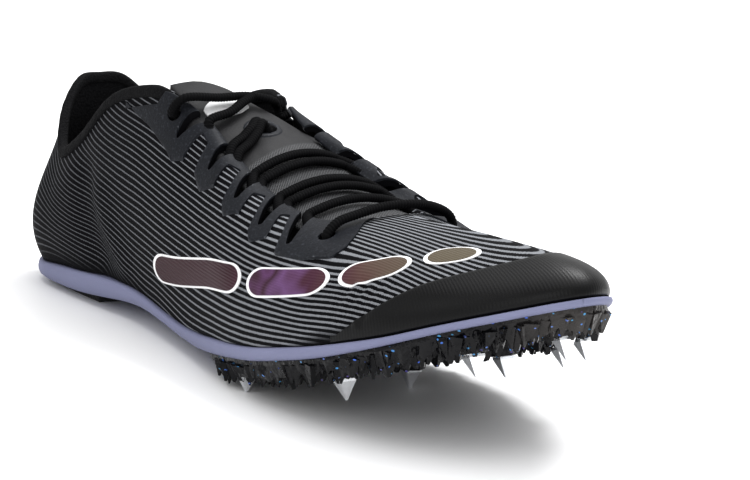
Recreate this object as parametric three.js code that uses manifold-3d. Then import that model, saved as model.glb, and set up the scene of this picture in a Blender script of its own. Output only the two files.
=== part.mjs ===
// Track spike shoe for the right foot, standing empty on its heel pad and its two rear spikes.
// Millimetres. +X runs from heel to toe, +Y to the wearer's left (the inner side), +Z up.
// The origin is the middle of the heel's flat spot on the floor.
import * as THREE from 'three';
import { mergeVertices } from 'three/addons/utils/BufferGeometryUtils.js';
import Module from 'manifold-3d';

const wasm = await Module();
wasm.setup();

// Driving sizes
const SHOE_LENGTH = 288;
const BALL_WIDTH = 92;
const COLLAR_HEIGHT = 84;
const TOE_SPRING = 50;
const WALL = 1.8;
const FIT_GAP = 0.3;
const FEATHER_INSET = 1.5;
const OVERLAY_THICKNESS = 0.8;
const BINDING_DEPTH = 3.0;
const BINDING_THICKNESS = 0.8;
const TONGUE_THICKNESS = 2.4;
const TONGUE_CROWN = 3.8;
const TONGUE_WING = 0.16;
const KEEPER_LENGTH = 10.5;
const KEEPER_WIDTH = 5.5;
const INSOLE_THICKNESS = 3.0;
const PLATE_THICKNESS = 2.4;
const PLATE_INSET = 2.0;
const TOOTH_HEIGHT = 6.8;
const TOOTH_PITCH = 12;
const BOSS_DEPTH = 5.0;
const BOSS_RADIUS = 6.0;
const SPIKE_HEIGHT = 6.8;
const SPIKE_WIDTH = 5.4;
const STUD_RADIUS = 2.4;
const STUD_LENGTH = 3.2;
const LACE_DIAMETER = 3.6;
const EYELET_RADIUS = 2.9;
const SLOT_DEPTH = 14;
const SLOT_WIDTH = 5.8;
const HEEL_REST_SHARE = 0.115;
const WALL_RIBS = 60;
const WALL_ROWS = 7;

const HALF_WIDTH = BALL_WIDTH / 2;
const TONGUE_CLEARANCE = WALL + 2 * FIT_GAP;

// Side view of the sole's edge: heights as shares of the toe spring, x as a share of the length.
const SOLE_PROFILE = [
  { x: 0.000, top: 0.146, bottom: 0.082 },
  { x: 0.050, top: 0.152, bottom: 0.052 },
  { x: 0.100, top: 0.184, bottom: 0.046 },
  { x: 0.160, top: 0.212, bottom: 0.060 },
  { x: 0.210, top: 0.234, bottom: 0.090 },
  { x: 0.260, top: 0.240, bottom: 0.122 },
  { x: 0.310, top: 0.220, bottom: 0.134 },
  { x: 0.365, top: 0.194, bottom: 0.122 },
  { x: 0.420, top: 0.188, bottom: 0.108 },
  { x: 0.470, top: 0.214, bottom: 0.116 },
  { x: 0.520, top: 0.258, bottom: 0.156 },
  { x: 0.575, top: 0.308, bottom: 0.214 },
  { x: 0.625, top: 0.362, bottom: 0.270 },
  { x: 0.680, top: 0.440, bottom: 0.352 },
  { x: 0.730, top: 0.516, bottom: 0.432 },
  { x: 0.780, top: 0.604, bottom: 0.530 },
  { x: 0.835, top: 0.710, bottom: 0.652 },
  { x: 0.885, top: 0.828, bottom: 0.774 },
  { x: 0.940, top: 0.956, bottom: 0.902 },
  { x: 0.975, top: 1.040, bottom: 0.986 },
  { x: 1.000, top: 1.096, bottom: 1.044 },
];

// Ends of the upper's ribs, a row for each, from the back of the heel along the outer side to the
// toe and back along the inner side. x and y give the sole's edge under the rib, topX and topY its
// upper end on the collar or throat edge, as shares of the length and of half the ball width.
// topZ is a share of the collar height.
const RIB_ENDS = [
  { x: 0.000, y: 0.000, topX: 0.016, topY: 0.000, topZ: 0.850 },
  { x: 0.011, y: -0.375, topX: 0.022, topY: -0.200, topZ: 0.840 },
  { x: 0.050, y: -0.610, topX: 0.042, topY: -0.400, topZ: 0.730 },
  { x: 0.120, y: -0.655, topX: 0.080, topY: -0.540, topZ: 0.590 },
  { x: 0.196, y: -0.650, topX: 0.140, topY: -0.590, topZ: 0.690 },
  { x: 0.278, y: -0.636, topX: 0.204, topY: -0.595, topZ: 0.880 },
  { x: 0.354, y: -0.690, topX: 0.268, topY: -0.580, topZ: 0.965 },
  { x: 0.430, y: -0.775, topX: 0.328, topY: -0.530, topZ: 0.985 },
  { x: 0.503, y: -0.880, topX: 0.373, topY: -0.415, topZ: 0.905 },
  { x: 0.573, y: -0.975, topX: 0.426, topY: -0.395, topZ: 0.806 },
  { x: 0.642, y: -1.012, topX: 0.486, topY: -0.406, topZ: 0.728 },
  { x: 0.712, y: -1.000, topX: 0.550, topY: -0.425, topZ: 0.682 },
  { x: 0.778, y: -0.940, topX: 0.606, topY: -0.420, topZ: 0.668 },
  { x: 0.844, y: -0.815, topX: 0.640, topY: -0.320, topZ: 0.680 },
  { x: 0.906, y: -0.598, topX: 0.657, topY: -0.180, topZ: 0.696 },
  { x: 0.956, y: -0.304, topX: 0.663, topY: -0.050, topZ: 0.706 },
  { x: 0.992, y: 0.040, topX: 0.664, topY: 0.070, topZ: 0.706 },
  { x: 0.982, y: 0.304, topX: 0.660, topY: 0.190, topZ: 0.700 },
  { x: 0.947, y: 0.511, topX: 0.648, topY: 0.310, topZ: 0.684 },
  { x: 0.896, y: 0.690, topX: 0.622, topY: 0.425, topZ: 0.664 },
  { x: 0.833, y: 0.835, topX: 0.574, topY: 0.465, topZ: 0.660 },
  { x: 0.767, y: 0.918, topX: 0.516, topY: 0.425, topZ: 0.704 },
  { x: 0.698, y: 0.940, topX: 0.457, topY: 0.372, topZ: 0.772 },
  { x: 0.628, y: 0.902, topX: 0.401, topY: 0.320, topZ: 0.850 },
  { x: 0.556, y: 0.804, topX: 0.356, topY: 0.360, topZ: 0.906 },
  { x: 0.479, y: 0.674, topX: 0.320, topY: 0.450, topZ: 0.930 },
  { x: 0.399, y: 0.576, topX: 0.264, topY: 0.520, topZ: 0.905 },
  { x: 0.319, y: 0.565, topX: 0.208, topY: 0.540, topZ: 0.830 },
  { x: 0.236, y: 0.609, topX: 0.150, topY: 0.540, topZ: 0.690 },
  { x: 0.160, y: 0.652, topX: 0.092, topY: 0.520, topZ: 0.590 },
  { x: 0.084, y: 0.620, topX: 0.052, topY: 0.405, topZ: 0.715 },
  { x: 0.028, y: 0.424, topX: 0.026, topY: 0.205, topZ: 0.836 },
];

// Curve of the same ribs. flare and rise move a rib's first control point outward and up, swell and
// reach move its second one outward and towards the sole's edge, and drop moves that one down.
// flare and swell are shares of half the ball width, rise and drop are shares of the collar height.
const RIB_CURVES = [
  { flare: 0.110, rise: 0.260, swell: -0.060, reach: 0.000, drop: 0.280 },
  { flare: 0.200, rise: 0.260, swell: -0.030, reach: 0.000, drop: 0.280 },
  { flare: 0.250, rise: 0.240, swell: 0.040, reach: 0.000, drop: 0.240 },
  { flare: 0.210, rise: 0.190, swell: 0.080, reach: 0.050, drop: 0.170 },
  { flare: 0.150, rise: 0.220, swell: 0.080, reach: 0.060, drop: 0.230 },
  { flare: 0.130, rise: 0.260, swell: 0.090, reach: 0.060, drop: 0.320 },
  { flare: 0.120, rise: 0.290, swell: 0.100, reach: 0.080, drop: 0.320 },
  { flare: 0.110, rise: 0.290, swell: 0.060, reach: 0.160, drop: 0.200 },
  { flare: 0.100, rise: 0.280, swell: 0.000, reach: 0.340, drop: 0.060 },
  { flare: 0.090, rise: 0.270, swell: 0.000, reach: 0.400, drop: 0.030 },
  { flare: 0.080, rise: 0.250, swell: 0.000, reach: 0.420, drop: 0.020 },
  { flare: 0.070, rise: 0.230, swell: 0.000, reach: 0.420, drop: 0.010 },
  { flare: 0.060, rise: 0.200, swell: 0.000, reach: 0.420, drop: 0.000 },
  { flare: 0.050, rise: 0.180, swell: 0.000, reach: 0.440, drop: -0.010 },
  { flare: 0.040, rise: 0.160, swell: 0.000, reach: 0.460, drop: -0.025 },
  { flare: 0.030, rise: 0.150, swell: 0.000, reach: 0.480, drop: -0.035 },
  { flare: 0.030, rise: 0.155, swell: 0.000, reach: 0.500, drop: -0.040 },
  { flare: 0.030, rise: 0.165, swell: 0.000, reach: 0.460, drop: 0.015 },
  { flare: 0.030, rise: 0.168, swell: 0.000, reach: 0.420, drop: 0.050 },
  { flare: 0.040, rise: 0.162, swell: 0.000, reach: 0.380, drop: 0.080 },
  { flare: 0.050, rise: 0.168, swell: 0.000, reach: 0.340, drop: 0.090 },
  { flare: 0.060, rise: 0.205, swell: 0.000, reach: 0.340, drop: 0.075 },
  { flare: 0.060, rise: 0.250, swell: 0.000, reach: 0.360, drop: 0.030 },
  { flare: 0.060, rise: 0.280, swell: 0.000, reach: 0.380, drop: 0.030 },
  { flare: 0.070, rise: 0.300, swell: 0.000, reach: 0.320, drop: 0.060 },
  { flare: 0.100, rise: 0.290, swell: 0.060, reach: 0.160, drop: 0.180 },
  { flare: 0.120, rise: 0.280, swell: 0.100, reach: 0.080, drop: 0.280 },
  { flare: 0.120, rise: 0.280, swell: 0.090, reach: 0.060, drop: 0.290 },
  { flare: 0.120, rise: 0.240, swell: 0.070, reach: 0.060, drop: 0.220 },
  { flare: 0.130, rise: 0.190, swell: 0.060, reach: 0.050, drop: 0.160 },
  { flare: 0.130, rise: 0.240, swell: 0.020, reach: 0.000, drop: 0.230 },
  { flare: 0.120, rise: 0.260, swell: -0.030, reach: 0.000, drop: 0.270 },
];
const RIB_COUNT = RIB_ENDS.length;

// Rib numbers between two neighbouring stations of the wall, and the stations where parts end.
const RIB_STEP = RIB_COUNT / WALL_RIBS;
const TOE_RIB = RIB_COUNT / 2;
const PLATE_START_RIB = 15 * RIB_STEP;
const BINDING_END_RIB = 12 * RIB_STEP;
const TONGUE_FRONT_RIB = 27 * RIB_STEP;
const TONGUE_TOP_RIB = 14 * RIB_STEP;

// Slots of the lacing, as rib numbers on the throat edge, and where each slot ends from its mouth
// (shares of the slot depth, forward and away from the throat).
const OUTER_SLOTS = [
  { rib: 8.03, forward: -0.35, out: 0.66 },
  { rib: 9.02, forward: 0.13, out: 0.78 },
  { rib: 9.92, forward: 0.45, out: 0.90 },
  { rib: 10.79, forward: 0.63, out: 1.02 },
  { rib: 11.71, forward: 0.85, out: 1.10 },
];
const INNER_SLOTS = [
  { rib: 24.34, forward: -0.35, out: 0.38 },
  { rib: 22.81, forward: 0.13, out: 0.58 },
  { rib: 21.80, forward: 0.40, out: 0.72 },
  { rib: 20.77, forward: 0.55, out: 0.86 },
  { rib: 19.73, forward: 0.75, out: 0.96 },
];

// Round holes for the lace: rib number and height share along the rib.
const OUTER_EYELETS = [
  { rib: 7.09, along: 0.888 },
  { rib: 12.09, along: 0.762 },
];
const INNER_EYELETS = [
  { rib: 25.05, along: 0.888 },
  { rib: 19.70, along: 0.800 },
];

// Lower limit of the eyestays towards the ankle and under the slots: rib number and height share.
const OUTER_EYESTAY_EDGE = [
  { rib: 5.64, along: 0.955 },
  { rib: 6.40, along: 0.828 },
  { rib: 6.90, along: 0.700 },
  { rib: 7.40, along: 0.500 },
  { rib: 9.00, along: 0.320 },
  { rib: 14.60, along: 0.320 },
];
const INNER_EYESTAY_EDGE = [
  { rib: 17.30, along: 0.300 },
  { rib: 21.50, along: 0.360 },
  { rib: 23.00, along: 0.440 },
  { rib: 24.00, along: 0.500 },
  { rib: 25.20, along: 0.700 },
  { rib: 26.40, along: 0.940 },
];

// How far the tongue reaches towards the inner side: rib number and share of its full width.
const TONGUE_REACH = [
  { rib: 7.20, share: 0.480 },
  { rib: 8.00, share: 0.640 },
  { rib: 8.70, share: 0.790 },
  { rib: 9.60, share: 1.000 },
  { rib: 14.40, share: 1.000 },
];

// Plan corners of the panel round the front eyelet, from the mouth of the foremost slot
// (shares of the slot depth, forward and away from the throat).
const OUTER_FRONT_PANEL = [
  { forward: 0.64, out: 1.30 },
  { forward: 1.60, out: 1.22 },
  { forward: 2.40, out: 0.96 },
  { forward: 2.45, out: 0.60 },
  { forward: 2.20, out: 0.20 },
  { forward: 1.57, out: -0.50 },
  { forward: 1.40, out: -0.90 },
];
const INNER_FRONT_PANEL = [
  { forward: 0.60, out: 1.30 },
  { forward: 1.20, out: 1.25 },
  { forward: 1.70, out: 0.95 },
  { forward: 1.80, out: 0.45 },
  { forward: 1.70, out: -0.20 },
  { forward: 1.55, out: -0.90 },
];

// Upper edge of the toe cap: rib number and height share along the rib.
const TOE_CAP_EDGE = [
  { rib: 11.90, along: 0.045 },
  { rib: 12.57, along: 0.171 },
  { rib: 13.10, along: 0.251 },
  { rib: 13.70, along: 0.316 },
  { rib: 14.54, along: 0.359 },
  { rib: 15.50, along: 0.396 },
  { rib: 16.20, along: 0.425 },
  { rib: 17.00, along: 0.440 },
  { rib: 18.00, along: 0.430 },
  { rib: 19.00, along: 0.380 },
  { rib: 20.00, along: 0.280 },
  { rib: 20.80, along: 0.160 },
  { rib: 21.40, along: 0.045 },
];

// Spikes: place on the plate (shares of the length and of half the ball width). The rear pair
// reaches down to the floor, the others sit on bosses that follow the plate.
const SPIKES = [
  { name: 'spike_rear_outer', x: 0.587, y: -0.865, floor: true },
  { name: 'spike_rear_inner', x: 0.653, y: 0.240, floor: true },
  { name: 'spike_side_outer', x: 0.742, y: -0.715, floor: false },
  { name: 'spike_side_inner', x: 0.746, y: 0.610, floor: false },
  { name: 'spike_front_outer', x: 0.878, y: -0.285, floor: false },
  { name: 'spike_front_inner', x: 0.889, y: 0.585, floor: false },
  { name: 'spike_tip', x: 0.953, y: 0.090, floor: false },
  { name: 'spike_middle_inner', x: 0.820, y: 0.745, floor: false },
];

// Straight strands of the lace between the two throat edges: rib numbers of their ends.
const LACE_BARS = [
  { name: 'lace_bar_a', outer: 9.76, inner: 21.94, lift: 1.6 },
  { name: 'lace_bar_b', outer: 10.04, inner: 21.66, lift: 1.2 },
  { name: 'lace_bar_c', outer: 10.66, inner: 20.92, lift: 1.6 },
  { name: 'lace_bar_d', outer: 10.94, inner: 20.62, lift: 1.2 },
  { name: 'lace_bar_e', outer: 11.66, inner: 19.84, lift: 1.6 },
];

// Cubic through the rows of a closed table, read at a rib number.
function ringValue(rows, column, rib) {
  const base = Math.floor(rib);
  const f = rib - base;
  const at = (k) => rows[((base + k) % RIB_COUNT + RIB_COUNT) % RIB_COUNT][column];
  const a = at(-1);
  const b = at(0);
  const c = at(1);
  const d = at(2);
  return b + 0.5 * f * (c - a + f * (2 * a - 5 * b + 4 * c - d + f * (3 * (b - c) + d - a)));
}

// Cubic through the rows of an open table whose key column rises.
function openValue(rows, key, column, at) {
  const last = rows.length - 1;
  const clamped = Math.min(Math.max(at, rows[0][key]), rows[last][key]);
  let k = 0;
  while (k < last - 1 && clamped > rows[k + 1][key]) {
    k += 1;
  }
  const slope = (i) => {
    const low = Math.max(i - 1, 0);
    const high = Math.min(i + 1, last);
    return (rows[high][column] - rows[low][column]) / (rows[high][key] - rows[low][key]);
  };
  const span = rows[k + 1][key] - rows[k][key];
  const f = (clamped - rows[k][key]) / span;
  const rise = rows[k + 1][column] - rows[k][column];
  const m0 = slope(k) * span;
  const m1 = slope(k + 1) * span;
  return rows[k][column] + f * m0 + f * f * (3 * rise - 2 * m0 - m1) + f * f * f * (m0 + m1 - 2 * rise);
}

// Straight lines between the rows of an open table.
function brokenValue(rows, key, column, at) {
  let k = 0;
  while (k < rows.length - 2 && at > rows[k + 1][key]) {
    k += 1;
  }
  const f = (at - rows[k][key]) / (rows[k + 1][key] - rows[k][key]);
  return rows[k][column] + Math.min(Math.max(f, 0), 1) * (rows[k + 1][column] - rows[k][column]);
}

function soleTop(x) {
  return TOE_SPRING * openValue(SOLE_PROFILE, 'x', 'top', x / SHOE_LENGTH);
}

function soleBottom(x) {
  return TOE_SPRING * openValue(SOLE_PROFILE, 'x', 'bottom', x / SHOE_LENGTH);
}

function plateUnderside(x) {
  return soleBottom(x) - FIT_GAP - PLATE_THICKNESS;
}

// Point of the sole's edge in plan, moved inward by an inset.
function edgePoint(rib, inset) {
  const x = SHOE_LENGTH * ringValue(RIB_ENDS, 'x', rib);
  const y = HALF_WIDTH * ringValue(RIB_ENDS, 'y', rib);
  const outward = edgeOutward(rib);
  return new THREE.Vector2(x - inset * outward.x, y - inset * outward.y);
}

function edgeOutward(rib) {
  const step = 0.05;
  const dx = SHOE_LENGTH * (ringValue(RIB_ENDS, 'x', rib + step) - ringValue(RIB_ENDS, 'x', rib - step));
  const dy = HALF_WIDTH * (ringValue(RIB_ENDS, 'y', rib + step) - ringValue(RIB_ENDS, 'y', rib - step));
  return new THREE.Vector2(dy, -dx).normalize();
}

// Outer face of the upper: a cubic rib from the sole's edge (along 0) to the top line (along 1).
function ribPoint(rib, along) {
  const foot = edgePoint(rib, FEATHER_INSET);
  const outward = edgeOutward(rib);
  const footZ = soleTop(foot.x) + FIT_GAP;
  const top = new THREE.Vector3(
    SHOE_LENGTH * ringValue(RIB_ENDS, 'topX', rib),
    HALF_WIDTH * ringValue(RIB_ENDS, 'topY', rib),
    COLLAR_HEIGHT * ringValue(RIB_ENDS, 'topZ', rib),
  );
  const flare = HALF_WIDTH * ringValue(RIB_CURVES, 'flare', rib);
  const rise = COLLAR_HEIGHT * ringValue(RIB_CURVES, 'rise', rib);
  const swell = HALF_WIDTH * ringValue(RIB_CURVES, 'swell', rib);
  const reach = ringValue(RIB_CURVES, 'reach', rib);
  const drop = COLLAR_HEIGHT * ringValue(RIB_CURVES, 'drop', rib);
  const p0 = new THREE.Vector3(foot.x, foot.y, footZ);
  const p1 = new THREE.Vector3(foot.x + flare * outward.x, foot.y + flare * outward.y, footZ + rise);
  const p2 = new THREE.Vector3(
    top.x + reach * (foot.x - top.x) + swell * outward.x,
    top.y + reach * (foot.y - top.y) + swell * outward.y,
    top.z - drop,
  );
  const s = 1 - along;
  return p0.multiplyScalar(s * s * s)
    .addScaledVector(p1, 3 * s * s * along)
    .addScaledVector(p2, 3 * s * along * along)
    .addScaledVector(top, along * along * along);
}

function ribNormal(rib, along) {
  const low = Math.max(along - 0.01, 0);
  const high = Math.min(along + 0.01, 1);
  const upward = ribPoint(rib, high).sub(ribPoint(rib, low));
  const forward = ribPoint(rib + 0.04, along).sub(ribPoint(rib - 0.04, along));
  return forward.cross(upward).normalize();
}

// Point at a distance outside (positive) or inside (negative) the outer face of the upper.
function wallPoint(rib, along, distance) {
  return ribPoint(rib, along).addScaledVector(ribNormal(rib, along), distance);
}

// Point of the faceted wall: straight lines between the wall's own stations and rows, so that
// parts which follow it keep their gap.
function facetPoint(rib, along, distance) {
  const u = rib / RIB_STEP + 1e-9;
  const v = Math.min(Math.max(along, 0), 1 - 1e-9) * WALL_ROWS;
  const i = Math.floor(u);
  const j = Math.floor(v);
  const corner = (di, dj) => wallPoint((i + di) * RIB_STEP, (j + dj) / WALL_ROWS, distance);
  const low = corner(0, 0).lerp(corner(1, 0), u - i);
  return low.lerp(corner(0, 1).lerp(corner(1, 1), u - i), v - j);
}

// Share of a rib's height that a distance down from its upper end takes up.
function shareOfDepth(rib, depth) {
  return depth / (WALL_ROWS * ribPoint(rib, 1).distanceTo(ribPoint(rib, 1 - 1 / WALL_ROWS)));
}

// Wall stations from one rib number to another, both ends kept.
function stationsBetween(from, to) {
  const ribs = [from];
  for (let i = Math.floor(from / RIB_STEP + 1e-6) + 1; i * RIB_STEP < to - 1e-6; i += 1) {
    ribs.push(i * RIB_STEP);
  }
  ribs.push(to);
  return ribs;
}

// Closed body from rings of points. Each ring goes along one side of its section and back along the
// other. The last ring joins the first when looped, otherwise the end sections are closed, unless
// they have shrunk to a line.
function bodyFromRings(rings, looped) {
  const count = rings[0].length;
  const points = rings.flat();
  const faces = [];
  const spans = looped ? rings.length : rings.length - 1;
  for (let i = 0; i < spans; i += 1) {
    const a = i * count;
    const b = ((i + 1) % rings.length) * count;
    for (let j = 0; j < count; j += 1) {
      const k = (j + 1) % count;
      faces.push([a + j, b + j, b + k], [a + j, b + k, a + k]);
    }
  }
  if (!looped) {
    [rings[0], rings[rings.length - 1]].forEach((ring, side) => {
      const start = side * (rings.length - 1) * count;
      for (let j = 0; j < count / 2 - 1 && sectionArea(ring) > 1e-3; j += 1) {
        const quad = [j, j + 1, count - 2 - j, count - 1 - j].map((k) => start + k);
        const [a, b, c, d] = side === 0 ? quad : quad.reverse();
        faces.push([a, b, c], [a, c, d]);
      }
    });
  }
  return geometryFrom(points, faces);
}

function sectionArea(ring) {
  const sum = new THREE.Vector3();
  ring.forEach((point, j) => {
    const next = ring[(j + 1) % ring.length];
    sum.add(point.clone().sub(ring[0]).cross(next.clone().sub(ring[0])));
  });
  return sum.length() / 2;
}

// Geometry from points and faces, with flat triangles dropped and the faces turned outward.
function geometryFrom(points, faces) {
  const position = new Float32Array(points.length * 3);
  points.forEach((p, i) => position.set([p.x, p.y, p.z], i * 3));
  const geometry = new THREE.BufferGeometry();
  geometry.setAttribute('position', new THREE.BufferAttribute(position, 3));
  geometry.setIndex(faces.flat());
  const merged = mergeVertices(geometry, 1e-4);
  const index = merged.getIndex().array;
  const kept = [];
  for (let i = 0; i < index.length; i += 3) {
    const [a, b, c] = [index[i], index[i + 1], index[i + 2]];
    if (a !== b && b !== c && c !== a) {
      kept.push(a, b, c);
    }
  }
  if (enclosedVolume(merged.getAttribute('position').array, kept) < 0) {
    for (let i = 0; i < kept.length; i += 3) {
      [kept[i + 1], kept[i + 2]] = [kept[i + 2], kept[i + 1]];
    }
  }
  merged.setIndex(kept);
  return merged;
}

function enclosedVolume(position, index) {
  let sum = 0;
  const corner = (k) => new THREE.Vector3().fromArray(position, index[k] * 3);
  for (let i = 0; i < index.length; i += 3) {
    sum += corner(i).dot(corner(i + 1).cross(corner(i + 2)));
  }
  return sum / 6;
}

// Bridges to the solid cutter and back.
function toSolid(geometry) {
  const clean = geometry.clone();
  clean.deleteAttribute('normal');
  clean.deleteAttribute('uv');
  const merged = mergeVertices(clean, 1e-4);
  return new wasm.Manifold(new wasm.Mesh({
    numProp: 3,
    vertProperties: Float32Array.from(merged.getAttribute('position').array),
    triVerts: Uint32Array.from(merged.getIndex().array),
  }));
}

function toGeometry(solid) {
  const mesh = solid.getMesh();
  const geometry = new THREE.BufferGeometry();
  geometry.setAttribute('position', new THREE.BufferAttribute(Float32Array.from(mesh.vertProperties), 3));
  geometry.setIndex(Array.from(mesh.triVerts));
  return geometry;
}

// Upright cutter over a plan outline, from the middle of the walls to well above the collar.
function planCutter(outline) {
  const low = 0.36 * COLLAR_HEIGHT;
  const settings = { depth: 2 * COLLAR_HEIGHT - low, bevelEnabled: false };
  const prism = new THREE.ExtrudeGeometry(new THREE.Shape(outline), settings);
  return toSolid(prism.translate(0, 0, low));
}

// Patch of overlay on the upper between two rib numbers, from its lower to its upper edge.
function overlayPatch(from, to, lower, upper) {
  const rings = stationsBetween(from, to).map((rib) => {
    const inner = [];
    const outer = [];
    for (let j = 0; j <= WALL_ROWS; j += 1) {
      const along = Math.min(Math.max(j / WALL_ROWS, lower(rib)), upper(rib));
      const lift = along === j / WALL_ROWS ? FIT_GAP : 2 * FIT_GAP;
      inner.push(facetPoint(rib, along, lift));
      outer.push(facetPoint(rib, along, lift + OVERLAY_THICKNESS));
    }
    return inner.concat(outer.reverse());
  });
  return bodyFromRings(rings, false);
}

// Side of the shoe that a rib number lies on: -1 for the outer side, 1 for the inner side.
function sideOf(rib) {
  return rib < TOE_RIB ? -1 : 1;
}

// Plan frame at a slot's mouth: a point at a depth share along the slot's axis and a half width.
function slotFrame(mouth, forward, out, side) {
  const axis = new THREE.Vector2(forward, side * out).multiplyScalar(SLOT_DEPTH);
  const along = axis.clone().normalize();
  const across = new THREE.Vector2(side * -along.y, side * along.x).multiplyScalar(-1);
  return (share, half) => new THREE.Vector2(
    mouth.x + share * axis.x + half * across.x,
    mouth.y + share * axis.y + half * across.y,
  );
}

// Plan outline of one slot: a wide mouth that reaches past the throat edge, and a narrow round end.
function slotOutline(slot) {
  const place = slotFrame(ribPoint(slot.rib, 1), slot.forward, slot.out, sideOf(slot.rib));
  const wide = SLOT_WIDTH / 2;
  const tip = SLOT_WIDTH * 0.16;
  return [
    place(-0.45, -wide),
    place(0.10, -wide),
    place(0.60, -wide * 0.72),
    place(0.94, -tip),
    place(1.00, -tip * 0.4),
    place(1.00, tip * 0.4),
    place(0.94, tip),
    place(0.60, wide * 0.72),
    place(0.10, wide),
    place(-0.45, wide),
  ];
}

// Plan outline of the open window in the finger between two slots.
function windowOutline(slotA, slotB) {
  const rear = ribPoint(slotA.rib, 1);
  const front = ribPoint(slotB.rib, 1);
  const forward = 0.5 * (slotA.forward + slotB.forward);
  const out = 0.5 * (slotA.out + slotB.out);
  const half = 0.5 * rear.distanceTo(front) * out / Math.hypot(forward, out);
  const place = slotFrame(rear.lerp(front, 0.5), forward, out, sideOf(slotA.rib));
  const border = SLOT_WIDTH * 0.40;
  const narrow = half - SLOT_WIDTH * 0.42 - border;
  const wide = half - SLOT_WIDTH * 0.20 - border;
  const start = Math.max(0.42, 0.38 / Math.hypot(forward, out));
  return [
    place(start, -narrow),
    place(1.00, -wide),
    place(2.20, -wide),
    place(2.20, wide),
    place(1.00, wide),
    place(start, narrow),
  ];
}

// Plan outline of an eyestay: everything towards the ankle, then a zigzag round the slots, then
// the panel round the front eyelet.
function combOutline(slots) {
  const side = slots === OUTER_SLOTS ? -1 : 1;
  const mouths = slots.map((slot) => ribPoint(slot.rib, 1));
  const place = (mouth, forward, out) => new THREE.Vector2(
    mouth.x + forward * SLOT_DEPTH,
    mouth.y + side * out * SLOT_DEPTH,
  );
  const last = mouths.length - 1;
  const outline = [new THREE.Vector2(0, 0), new THREE.Vector2(0, side * BALL_WIDTH)];
  outline.push(new THREE.Vector2(mouths[0].x - 0.20 * SLOT_DEPTH, side * BALL_WIDTH));
  outline.push(place(mouths[0], -0.20, slots[0].out + 0.30));
  for (let k = 0; k < last; k += 1) {
    const middle = mouths[k].clone().lerp(mouths[k + 1], 0.5);
    const forward = 0.5 * (slots[k].forward + slots[k + 1].forward);
    const out = 0.5 * (slots[k].out + slots[k + 1].out);
    outline.push(place(middle, forward, out));
    if (k + 1 < last) {
      outline.push(place(mouths[k + 1], slots[k + 1].forward - 0.06, slots[k + 1].out + 0.26));
    }
  }
  const panel = side < 0 ? OUTER_FRONT_PANEL : INNER_FRONT_PANEL;
  panel.forEach((corner) => outline.push(place(mouths[last], corner.forward, corner.out)));
  outline.push(new THREE.Vector2(mouths[last].x, 0));
  return outline;
}

// Round bar through the wall at an eyelet.
function eyeletBar(eyelet) {
  const centre = ribPoint(eyelet.rib, eyelet.along);
  const normal = ribNormal(eyelet.rib, eyelet.along);
  const bar = new THREE.CylinderGeometry(EYELET_RADIUS, EYELET_RADIUS, 12, 14);
  bar.applyQuaternion(new THREE.Quaternion().setFromUnitVectors(new THREE.Vector3(0, 1, 0), normal));
  bar.translate(centre.x, centre.y, centre.z);
  return bar;
}

function ribSteps(from, to, count) {
  return Array.from({ length: count + 1 }, (_, i) => from + (to - from) * i / count);
}

const slotPrisms = OUTER_SLOTS.concat(INNER_SLOTS).map((slot) => planCutter(slotOutline(slot)));
const eyeletBars = OUTER_EYELETS.concat(INNER_EYELETS).map((eyelet) => toSolid(eyeletBar(eyelet)));

// Upper: one hollow wall, open at the collar and throat and underneath
function makeUpper() {
  const rings = [];
  for (let i = 0; i < WALL_RIBS; i += 1) {
    const outer = [];
    const inner = [];
    for (let j = 0; j <= WALL_ROWS; j += 1) {
      outer.push(wallPoint(i * RIB_STEP, j / WALL_ROWS, 0));
      inner.push(wallPoint(i * RIB_STEP, j / WALL_ROWS, -WALL));
    }
    rings.push(outer.concat(inner.reverse()));
  }
  let solid = toSolid(bodyFromRings(rings, true));
  slotPrisms.concat(eyeletBars).forEach((cutter) => {
    solid = solid.subtract(cutter);
  });
  return toGeometry(solid);
}

// Toe cap: film over the front of the upper, from the sole's edge up to a curved line
function makeToeCap() {
  const first = 22 * RIB_STEP;
  const last = 40 * RIB_STEP;
  const lower = () => 0.02;
  const upper = (rib) => openValue(TOE_CAP_EDGE, 'rib', 'along', rib);
  return overlayPatch(first, last, lower, upper);
}

// Eyestay: film comb round the slots of one side, with open windows in its fingers
function makeEyestay(edge, slots) {
  const lower = (rib) => brokenValue(edge, 'rib', 'along', rib);
  const upper = (rib) => {
    const covered = Math.min(rib, RIB_COUNT - rib) < BINDING_END_RIB + 0.5 * RIB_STEP;
    return 1 - shareOfDepth(rib, covered ? BINDING_DEPTH + FIT_GAP : FIT_GAP);
  };
  const ends = [edge[0].rib, edge[edge.length - 1].rib];
  let solid = toSolid(overlayPatch(ends[0], ends[1], lower, upper));
  solid = solid.intersect(planCutter(combOutline(slots)));
  slotPrisms.concat(eyeletBars).forEach((cutter) => {
    solid = solid.subtract(cutter);
  });
  for (let k = 0; k < slots.length - 1; k += 1) {
    solid = solid.subtract(planCutter(windowOutline(slots[k], slots[k + 1])));
  }
  return toGeometry(solid);
}

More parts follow.
